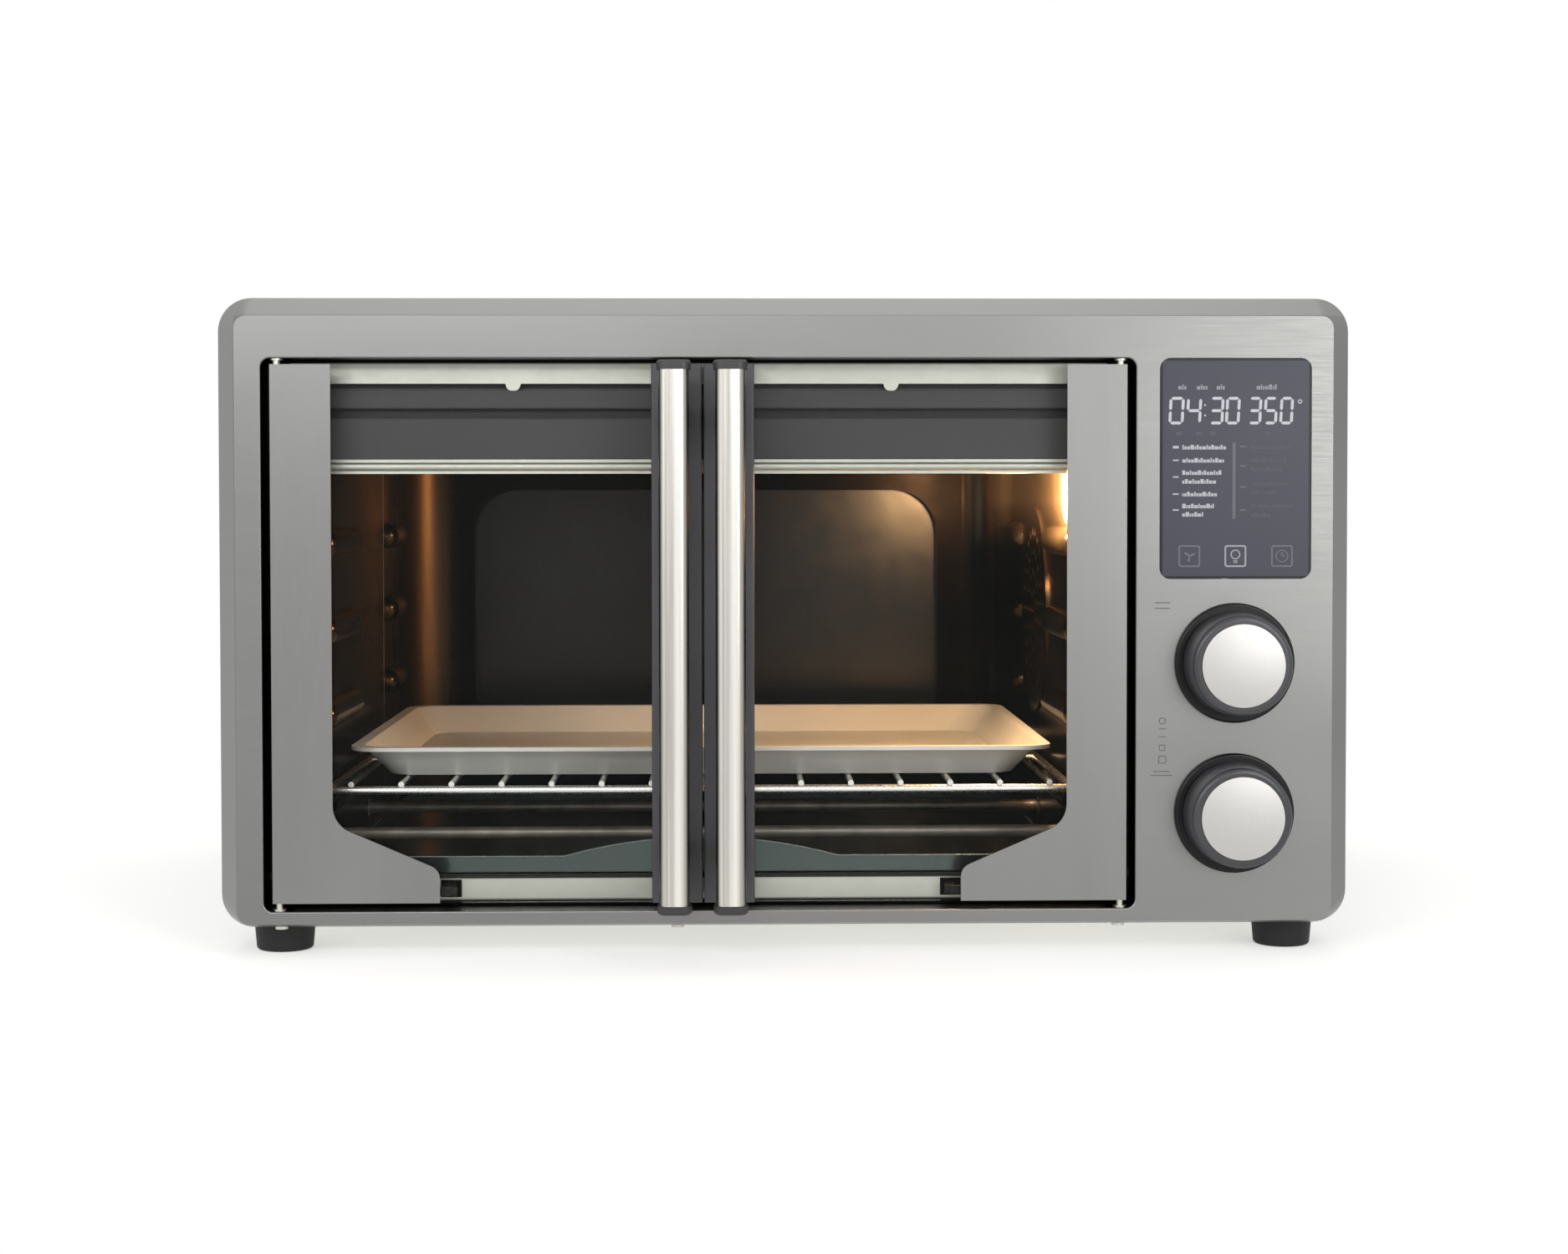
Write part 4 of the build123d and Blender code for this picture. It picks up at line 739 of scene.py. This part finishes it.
# %% Oven lamp
lamp_power = 1.9
lamp_gap = 0.032
warm_light = (1.0, 0.60, 0.28)
lens_low, lens_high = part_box("lamp_lens")
lamp_data = bpy.data.lights.new("oven_lamp", "POINT")
lamp_data.energy = lamp_power
lamp_data.color = warm_light
lamp_data.shadow_soft_size = 0.012
oven_lamp = bpy.data.objects.new("oven_lamp", lamp_data)
oven_lamp.location = (lens_low.x - lamp_gap, (lens_low.y + lens_high.y) / 2,
                      (lens_low.z + lens_high.z) / 2)
bpy.context.scene.collection.objects.link(oven_lamp)
kept_off = bpy.data.collections.new("kept_off_oven_lamp")
for name in ("left_handle_bar", "right_handle_bar", "left_handle_caps", "right_handle_caps"):
    kept_off.objects.link(nodes[name])
kept_off.objects.link(floor)
for member in kept_off.collection_objects:
    member.light_linking.link_state = "EXCLUDE"
oven_lamp.light_linking.receiver_collection = kept_off

# %% [markdown]
# Charcoal plastic and rubber
#
# The door stiles and the handle caps and posts are dark grey plastic with a
# fine moulded grain. The knob bodies and the rings behind them are smooth and
# glossy, the rings nearly black. The feet are black rubber.

# %% Plastics
charcoal = finish("charcoal_plastic", (0.050, 0.050, 0.055), (0.062, 0.062, 0.068), 0.0,
                  (0.40, 0.52), (20, 20, 20), (2600, 2600, 2600),
                  strength=0.25, depth=0.00006)
dress(charcoal, "left_door_stile", "right_door_stile", "encoders", "cord_gland")
dark_cap = finish("dark_cap_plastic", (0.020, 0.020, 0.021), (0.030, 0.030, 0.031), 0.0,
                  (0.30, 0.42), (20, 20, 20), (1800, 1800, 1800),
                  strength=0.15, depth=0.00005)
dress(dark_cap, "left_handle_caps", "right_handle_caps", "left_handle_posts",
      "right_handle_posts")
gloss_black = finish("gloss_charcoal", (0.036, 0.037, 0.042), (0.046, 0.047, 0.053), 0.0,
                     (0.24, 0.28), (25, 25, 25), (60, 60, 60), strength=0.01, depth=0.00003)
dress(gloss_black, "upper_knob", "lower_knob")
ring_black = finish("ring_black", (0.003, 0.003, 0.004), (0.006, 0.006, 0.007), 0.0,
                    (0.26, 0.32), (25, 25, 25), (60, 60, 60), strength=0.01, depth=0.00003)
ring_black.node_tree.nodes["Principled BSDF"].inputs["Specular IOR Level"].default_value = 0.25
dress(ring_black, "knob_rings")
rubber = finish("foot_rubber", (0.002, 0.002, 0.002), (0.004, 0.004, 0.004), 0.0,
                (0.62, 0.74), (60, 60, 60), (2200, 2200, 2200), strength=0.35, depth=0.0001)
dress(rubber, "foot_front_left", "foot_front_right", "foot_rear_left", "foot_rear_right")
print("plastics dressed")

# %% [markdown]
# Knob caps
#
# Each knob carries a disc of satin aluminium, spun on a lathe. The spinning
# leaves fine rings round the middle of the disc, made here by a texture that
# depends only on the distance from the knob's axis. The wheel of the fan is
# plain pale sheet.

# %% Spun aluminium
rings_per_metre = 3200


def make_spun(name, centre, colour_low, colour_high):
    """Metal with fine rings round an axis that runs along Y through a centre."""
    mat, tree, shader = start_finish(name)
    shader.inputs["Metallic"].default_value = 1.0
    place = tree.nodes.new("ShaderNodeTexCoord")
    shift = tree.nodes.new("ShaderNodeMapping")
    shift.vector_type = "POINT"
    shift.inputs["Location"].default_value = (-centre.x, 0, -centre.z)
    shift.inputs["Scale"].default_value = (1, 0, 1)
    radius = tree.nodes.new("ShaderNodeVectorMath")
    radius.operation = "LENGTH"
    many = tree.nodes.new("ShaderNodeMath")
    many.operation = "MULTIPLY"
    many.inputs[1].default_value = rings_per_metre
    rings = tree.nodes.new("ShaderNodeTexNoise")
    rings.noise_dimensions = "1D"
    rings.inputs["Scale"].default_value = 1.0
    rings.inputs["Detail"].default_value = 2.0
    tree.links.new(place.outputs["Object"], shift.inputs["Vector"])
    tree.links.new(shift.outputs["Vector"], radius.inputs[0])
    tree.links.new(radius.outputs["Value"], many.inputs[0])
    tree.links.new(many.outputs[0], rings.inputs["W"])
    turned = rings.outputs["Fac"]
    tree.links.new(tint(tree, turned, colour_low, colour_high), shader.inputs["Base Color"])
    tree.links.new(ramp(tree, turned, 0.34, 0.44), shader.inputs["Roughness"])
    bump(tree, shader, turned, 0.10, 0.00003)
    return mat


for which in ("upper", "lower"):
    spun = make_spun(which + "_spun_aluminium", middle(which + "_knob_cap"),
                     (0.43, 0.42, 0.405), (0.51, 0.50, 0.485))
    dress(spun, which + "_knob_cap")
impeller_sheet = finish("impeller_sheet", (0.55, 0.55, 0.54), (0.66, 0.66, 0.65), 1.0,
                        (0.28, 0.4), (20, 20, 20), (800, 800, 800))
dress(impeller_sheet, "fan_impeller")
print("caps dressed")

# %% [markdown]
# Circuit boards
#
# The boards behind the display and in the control compartment are green
# laminate. They show at most through the vent slots, so a finely mottled green
# is enough.

# %% Boards
board_green = finish("circuit_board", (0.012, 0.075, 0.035), (0.03, 0.15, 0.07), 0.0,
                     (0.3, 0.45), (400, 400, 400), (1800, 1800, 1800),
                     strength=0.3, depth=0.0001)
dress(board_green, "display_board", "power_board")
print("boards dressed")

# %% [markdown]
# The display
#
# The display is a smoked panel, slightly blue, with a narrow darker edge. The
# edge is the part of the panel outside a box mask.

# %% Display panel
edge_wide = 1.3 * mm


def make_smoke():
    """Smoked panel with a nearly black edge."""
    mat, tree, shader = start_finish("smoked_panel")
    cloud = noise(tree, (18, 18, 18))
    smoke = tint(tree, cloud, (0.040, 0.041, 0.060), (0.050, 0.051, 0.074))
    tree.links.new(smoke, shader.inputs["Base Color"])
    tree.links.new(ramp(tree, cloud, 0.28, 0.34), shader.inputs["Roughness"])
    fine = noise(tree, (2200, 2200, 2200), detail=2.0)
    bump(tree, shader, fine, 0.05, 0.00003)
    shader.inputs["Specular IOR Level"].default_value = 0.28
    border = outside(tree, (display_low.x + edge_wide, None, display_low.z + edge_wide),
                     (display_high.x - edge_wide, None, display_high.z - edge_wide), 0.0003)
    recolour(mat, border, (0.004, 0.004, 0.006))
    return mat


dress(make_smoke(), "display_window")
print("dressed", len(dressed), "of", len(nodes), "CAD nodes; bare:", sorted(set(nodes) - dressed))

# %% [markdown]
# Drawing on the display
#
# What the display shows is lit from behind through a printed mask. Here each
# shape is a plate, a few hundredths of a millimetre thick, that lies on the
# panel and glows faintly. A picture would do the same, but plates stay sharp at
# any distance and need no image. Each group of plates is one piece.

# %% Display drawing helpers
ink_thick = 0.06 * mm


def glow_paint(name, colour, strength):
    """Lit ink that keeps its colour, with a faint unevenness."""
    mat, tree, shader = start_finish(name)
    shade = noise(tree, (600, 600, 600))
    lit = tint(tree, shade, tuple(c * 0.86 for c in colour), colour)
    tree.links.new(lit, shader.inputs["Base Color"])
    tree.links.new(lit, shader.inputs["Emission Color"])
    shader.inputs["Emission Strength"].default_value = strength
    shader.inputs["Roughness"].default_value = 0.5
    return mat


def plate(bm, points, face_y=display_face):
    """Thin plate with the outline given in X and Z."""
    front = [bm.verts.new((x, face_y - ink_thick, z)) for x, z in points]
    back = [bm.verts.new((x, face_y, z)) for x, z in points]
    bm.faces.new(front)
    bm.faces.new(list(reversed(back)))
    count = len(points)
    for i in range(count):
        bm.faces.new((front[i], back[i], back[(i + 1) % count], front[(i + 1) % count]))


def piece_from(bm, name, material, body):
    """Turn finished mesh data into a piece on a body."""
    bmesh.ops.recalc_face_normals(bm, faces=bm.faces)
    mesh = bpy.data.meshes.new(name)
    bm.to_mesh(mesh)
    bm.free()
    obj = bpy.data.objects.new(name, mesh)
    mesh.materials.append(material)
    bpy.context.scene.collection.objects.link(obj)
    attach(obj, body)


def at(px, pz):
    """Place on the display, in millimetres from its left edge and from its top."""
    return display_low.x + px * mm, display_high.z - pz * mm


print("drawing helpers ready, ink", ink_thick, "m thick")

# %% [markdown]
# The numerals
#
# A segment display builds every numeral from up to seven straight strokes with
# pointed ends, which lean a little. The strokes carry the usual letters: a, g
# and d run across from top to bottom, f and b are the upper uprights, e and c
# the lower ones. The table holds only the numerals that are lit.

# %% Segment numerals
segments = {"0": "abcdef", "3": "abgcd", "4": "fgbc", "5": "afgcd"}
digit_high, digit_half, digit_base = 12.4 * mm, 0.72 * mm, 32.6
lean, corner_gap = 0.05, 0.35
digits = (("0", 4.8, 6.2), ("4", 13.6, 6.2), ("3", 25.2, 5.9), ("0", 33.4, 5.9),
          ("3", 44.8, 5.4), ("5", 52.8, 5.4), ("0", 60.8, 5.4))
colon_x, colon_dots, dot_half = 22.6, (23.6, 28.8), 0.6 * mm


def stroke(x0, z0, x1, z1, half):
    """Six-cornered stroke from one end to the other."""
    along = Vector((x1 - x0, z1 - z0)).normalized()
    side = Vector((-along.y, along.x)) * half
    a, b = Vector((x0, z0)), Vector((x1, z1))
    tip = along * half
    corners = (a, a + tip + side, b - tip + side, b, b - tip - side, a + tip - side)
    return [(corner.x, corner.y) for corner in corners]


def numeral(bm, char, left, bottom, wide):
    """One numeral made of straight strokes."""
    gap = digit_half * corner_gap
    right, top, mid = left + wide, bottom + digit_high, bottom + digit_high / 2
    runs = {"a": (left + gap, top, right - gap, top),
            "g": (left + gap, mid, right - gap, mid),
            "d": (left + gap, bottom, right - gap, bottom),
            "f": (left, mid + gap, left, top - gap),
            "e": (left, bottom + gap, left, mid - gap),
            "b": (right, mid + gap, right, top - gap),
            "c": (right, bottom + gap, right, mid - gap)}
    for name in segments[char]:
        x0, z0, x1, z1 = runs[name]
        points = stroke(x0, z0, x1, z1, digit_half)
        plate(bm, [(x + (z - bottom) * lean, z) for x, z in points])


numerals = bmesh.new()
for char, px, wide in digits:
    x, z = at(px, digit_base)
    numeral(numerals, char, x, z, wide * mm)
for pz in colon_dots:
    x, z = at(colon_x, pz)
    plate(numerals, stroke(x, z - dot_half, x, z + dot_half, 0.5 * mm))
lit_white = glow_paint("lit_white", (0.38, 0.38, 0.41), 0.52)
piece_from(numerals, "display_numerals", lit_white, "oven_body")
print("numerals made:", len(digits))

# %% [markdown]
# The menu
#
# Small captions stand above and below the numerals. They are shown as rows of
# short dashes of uneven length and height, which look like distant words and
# can't be read. A simple rule that counts along the row varies the dashes, so
# that they come out the same every time. Each row is given by its top edge and
# its width in millimetres, and low dashes are two thirds as high as tall ones.

# %% Menu helpers
dash_short, dash_step, dash_gap, low_share = 0.7, 0.35, 0.30, 0.68


def bar_plate(bm, px, pz, wide, high):
    """Plain bar on the display, sizes in millimetres."""
    x0, z0 = at(px, pz)
    x1, z1 = at(px + wide, pz + high)
    plate(bm, [(x0, z1), (x1, z1), (x1, z0), (x0, z0)])


def word_row(bm, px, pz, wide, high, seed):
    """A row of short dashes that fills a width, like unread words."""
    left, count = 0.0, 0
    while left < wide - 0.6:
        step = dash_short + dash_step * ((seed * 7 + count * 5) % 4)
        step = min(step, wide - left)
        tall = high if (seed * 3 + count * 2) % 5 < 2 else high * low_share
        bar_plate(bm, px + left, pz + high - tall, step, tall)
        left += step + dash_gap
        count += 1


def show(bm, name, paint, colour, strength):
    """Turn a group of plates into a glowing piece of the display."""
    piece_from(bm, name, glow_paint(paint, colour, strength), "oven_body")


print("menu helpers ready")

# %% Heading and bright menu
heading_words = ((9.0, 4.8), (18.4, 5.4), (28.4, 4.6), (48.6, 10.6))
bright_rows = ((43.6, 22.0), (50.2, 21.5), (56.4, 20.0), (60.8, 17.0), (67.2, 17.5),
               (73.2, 16.0), (77.4, 11.0))
bullets = ((44.1, 1.3), (51.0, 0.7), (59.4, 0.7), (68.0, 0.7), (76.0, 0.7))
heading = bmesh.new()
for px, wide in heading_words:
    word_row(heading, px, 13.2, wide, high=2.6, seed=1)
show(heading, "display_heading", "lit_heading", (0.22, 0.22, 0.25), 0.25)
bright_bars = bmesh.new()
for row, (pz, wide) in enumerate(bright_rows):
    word_row(bright_bars, 11.2, pz, wide, high=2.3, seed=row)
for pz, high in bullets:
    bar_plate(bright_bars, 6.4, pz, wide=3.0, high=high)
show(bright_bars, "display_menu_bright", "lit_soft", (0.33, 0.33, 0.36), 0.45)
print("heading words:", len(heading_words), "bright rows:", len(bright_rows))

# %% Faint menu and divider
faint_rows = ((43.6, 20.0), (50.2, 18.0), (54.8, 16.0), (62.0, 19.0), (66.4, 13.0),
              (73.2, 21.0), (77.8, 10.0))
faint_bars = bmesh.new()
for row, (pz, wide) in enumerate(faint_rows):
    word_row(faint_bars, 46.0, pz, wide, high=2.0, seed=row)
for px in (8.0, 18.0, 25.0, 53.0):
    bar_plate(faint_bars, px, 37.0, wide=3.0, high=1.8)
show(faint_bars, "display_menu_faint", "lit_faint", (0.060, 0.061, 0.080), 0.10)
divider = bmesh.new()
bar_plate(divider, 36.6, 42.4, wide=1.5, high=38.4)
for pz in (44.0, 53.8, 64.4, 76.0):
    bar_plate(divider, 40.4, pz, wide=3.0, high=0.8)
show(divider, "display_divider", "lit_line", (0.11, 0.11, 0.13), 0.15)
print("faint rows:", len(faint_rows))

# %% [markdown]
# The signs
#
# Three touch fields stand in a row under the menu, each a rounded frame with a
# simple sign: a fan, a bulb, which is lit brighter, and a clock. A small ring
# beside the numerals is the degree sign. Frames and rings are plates with a
# hole, made by joining an outer and an inner outline point by point.

# %% Sign helpers
def ring_points(cx, cz, radius, count=28):
    """Outline of a circle."""
    turns = [2 * math.pi * i / count for i in range(count)]
    return [(cx + radius * math.cos(turn), cz + radius * math.sin(turn)) for turn in turns]


def loop_plate(bm, outer, inner, face_y=display_face):
    """Thin plate between two outlines with the same number of points."""
    count = len(outer)
    front_y = face_y - ink_thick
    rows = []
    for points, y in ((outer, front_y), (inner, front_y), (inner, face_y), (outer, face_y)):
        rows.append([bm.verts.new((x, y, z)) for x, z in points])
    for a in range(4):
        b = (a + 1) % 4
        for i in range(count):
            j = (i + 1) % count
            bm.faces.new((rows[a][i], rows[a][j], rows[b][j], rows[b][i]))


def rounded_square(cx, cz, half, radius, steps=5):
    """Outline of a square with round corners."""
    points = []
    for quarter, (sx, sz) in enumerate(((1, 1), (-1, 1), (-1, -1), (1, -1))):
        for i in range(steps + 1):
            angle = math.pi / 2 * (quarter + i / steps)
            points.append((cx + sx * (half - radius) + radius * math.cos(angle),
                           cz + sz * (half - radius) + radius * math.sin(angle)))
    return points


sign_row = 99.6


def sign_frame(bm, px):
    """Rounded frame of one touch field; gives its middle back."""
    cx, cz = at(px, sign_row)
    loop_plate(bm, rounded_square(cx, cz, half=5.5 * mm, radius=1.3 * mm),
               rounded_square(cx, cz, half=4.7 * mm, radius=0.8 * mm))
    return cx, cz


print("sign helpers ready; signs", sign_row, "mm below the top edge")

# %% Display signs
fan_x, bulb_x, clock_x = 14.9, 38.2, 61.8
bulb_sign = bmesh.new()
cx, cz = sign_frame(bulb_sign, bulb_x)
bulb_z, thread_half = cz + 0.8 * mm, 1.1 * mm
loop_plate(bulb_sign, ring_points(cx, bulb_z, 2.5 * mm), ring_points(cx, bulb_z, 1.9 * mm))
for drop in (2.4, 3.2):
    thread_z = cz - drop * mm
    plate(bulb_sign, stroke(cx - thread_half, thread_z, cx + thread_half, thread_z, 0.25 * mm))
show(bulb_sign, "display_bulb_sign", "lit_sign", (0.27, 0.27, 0.30), 0.3)
dim_signs = bmesh.new()
cx, cz = sign_frame(dim_signs, fan_x)
blades, blade_long, blade_turn = 3, 3.2 * mm, 0.4
for blade in range(blades):
    angle = 2 * math.pi * blade / blades + blade_turn
    plate(dim_signs, stroke(cx, cz, cx + blade_long * math.cos(angle),
                            cz + blade_long * math.sin(angle), 0.5 * mm))
cx, cz = sign_frame(dim_signs, clock_x)
loop_plate(dim_signs, ring_points(cx, cz, 3.2 * mm), ring_points(cx, cz, 2.7 * mm))
minute_hand, hour_hand = 2.2 * mm, 1.6 * mm
plate(dim_signs, stroke(cx, cz, cx, cz + minute_hand, 0.3 * mm))
plate(dim_signs, stroke(cx, cz, cx + hour_hand, cz, 0.3 * mm))
show(dim_signs, "display_dim_signs", "lit_dim", (0.115, 0.115, 0.140), 0.14)
degree = bmesh.new()
cx, cz = at(70.6, 21.8)
loop_plate(degree, ring_points(cx, cz, 1.1 * mm), ring_points(cx, cz, 0.65 * mm))
piece_from(degree, "display_degree", lit_white, "oven_body")
print("signs made")

# %% [markdown]
# Printed marks beside the knobs
#
# Small grey marks are printed on the panel to the left of the knobs. Only
# plain shapes are used here: two bars by the upper knob, and by the lower one a
# column of bars, two open squares and a ring. Their heights are counted from
# the middle of each knob, so they follow a knob that is moved in the model.
# Each is a thin plate on the steel.

# %% Printed marks
panel_face = fascia_low.y
mark_x = display_low.x + 1.5 * mm
upper_z, lower_z = middle("upper_knob_cap").z, middle("lower_knob_cap").z
ring_lift = 46.6


def panel_plate(bm, x, z, wide, high):
    """Plain bar on the panel, given by its middle."""
    left, right, bottom, top = x - wide / 2, x + wide / 2, z - high / 2, z + high / 2
    plate(bm, [(left, top), (right, top), (right, bottom), (left, bottom)], panel_face)


panel_ink = finish("panel_ink", (0.085, 0.085, 0.085), (0.12, 0.12, 0.12), 0.0, (0.5, 0.6),
                   (300, 300, 300), (2000, 2000, 2000), strength=0.05, depth=0.00002)
marks = bmesh.new()
for lift in (27.6, 30.4):
    panel_plate(marks, mark_x, upper_z + lift * mm, 7.5 * mm, 0.5 * mm)
for lift, wide in ((19.0, 11.0), (21.0, 8.0)):
    panel_plate(marks, mark_x - 0.5 * mm, lower_z + lift * mm, wide * mm, 0.5 * mm)
for lift, half in ((27.0, 2.0), (33.0, 1.6)):
    square = rounded_square(mark_x, lower_z + lift * mm, half * mm, 0.5 * mm)
    hole = rounded_square(mark_x, lower_z + lift * mm, (half - 0.45) * mm, 0.2 * mm)
    loop_plate(marks, square, hole, panel_face)
for lift in (38.6, 42.6):
    panel_plate(marks, mark_x, lower_z + lift * mm, 3.6 * mm, 0.45 * mm)
loop_plate(marks, ring_points(mark_x, lower_z + ring_lift * mm, 1.8 * mm),
           ring_points(mark_x, lower_z + ring_lift * mm, 1.35 * mm), panel_face)
piece_from(marks, "panel_marks", panel_ink, "oven_body")
print("panel marks made at x", round(mark_x, 4))

# %% [markdown]
# Rolled edge of the crumb tray
#
# The front edge of the tray rises to a grip in the middle, and its rim is
# rolled so that it doesn't cut a hand. The rim catches the light as a thin
# line, which is a painted highlight here: the bead along it is much paler steel
# than the tray. Its path is found from the tray's own mesh: the highest point of
# the front wall at each place along it. A curve with a small round section
# follows that path, a little below the top so that it grips the sheet.

# %% Tray edge
edge_radius, edge_drop, wall_depth = 0.6 * mm, 0.3 * mm, 1.2 * mm


def front_rim(node, steps=48):
    """Highest points along the front wall of a node, from left to right."""
    low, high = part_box(node)
    wall = [v.co for v in nodes[node].data.vertices if v.co.y < low.y + wall_depth]
    heights = {}
    for point in wall:
        column = round((point.x - low.x) / (high.x - low.x) * steps)
        if column not in heights or point.z > heights[column].z:
            heights[column] = point
    return [heights[column] for column in sorted(heights)]


def rolled_edge():
    """Round bead along the front rim of the tray."""
    rim_points = front_rim("crumb_tray")
    curve = bpy.data.curves.new("crumb_tray_edge", "CURVE")
    curve.dimensions = "3D"
    curve.bevel_depth = edge_radius
    curve.bevel_resolution = 3
    curve.use_fill_caps = True
    spline = curve.splines.new("POLY")
    spline.points.add(len(rim_points) - 1)
    for spot, co in zip(spline.points, rim_points):
        spot.co = (co.x, tray_low.y + edge_radius, co.z - edge_drop, 1)
    obj = bpy.data.objects.new("crumb_tray_edge", curve)
    bpy.context.scene.collection.objects.link(obj)
    curve.materials.append(tray_edge_highlight)
    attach(obj, "tray")
    return rim_points


# Painted highlight: the bead is much paler than the tray sheet.
tray_edge_highlight = finish("tray_edge_highlight", (0.62, 0.66, 0.65), (0.74, 0.78, 0.77), 1.0, (0.24, 0.34),
                    (40, 40, 40), (900, 900, 900), strength=0.05, depth=0.00003)
rim_points = rolled_edge()
rim_heights = [point.z for point in rim_points]
print("tray edge through", len(rim_points), "points, z", round(min(rim_heights), 4), "to",
      round(max(rim_heights), 4))
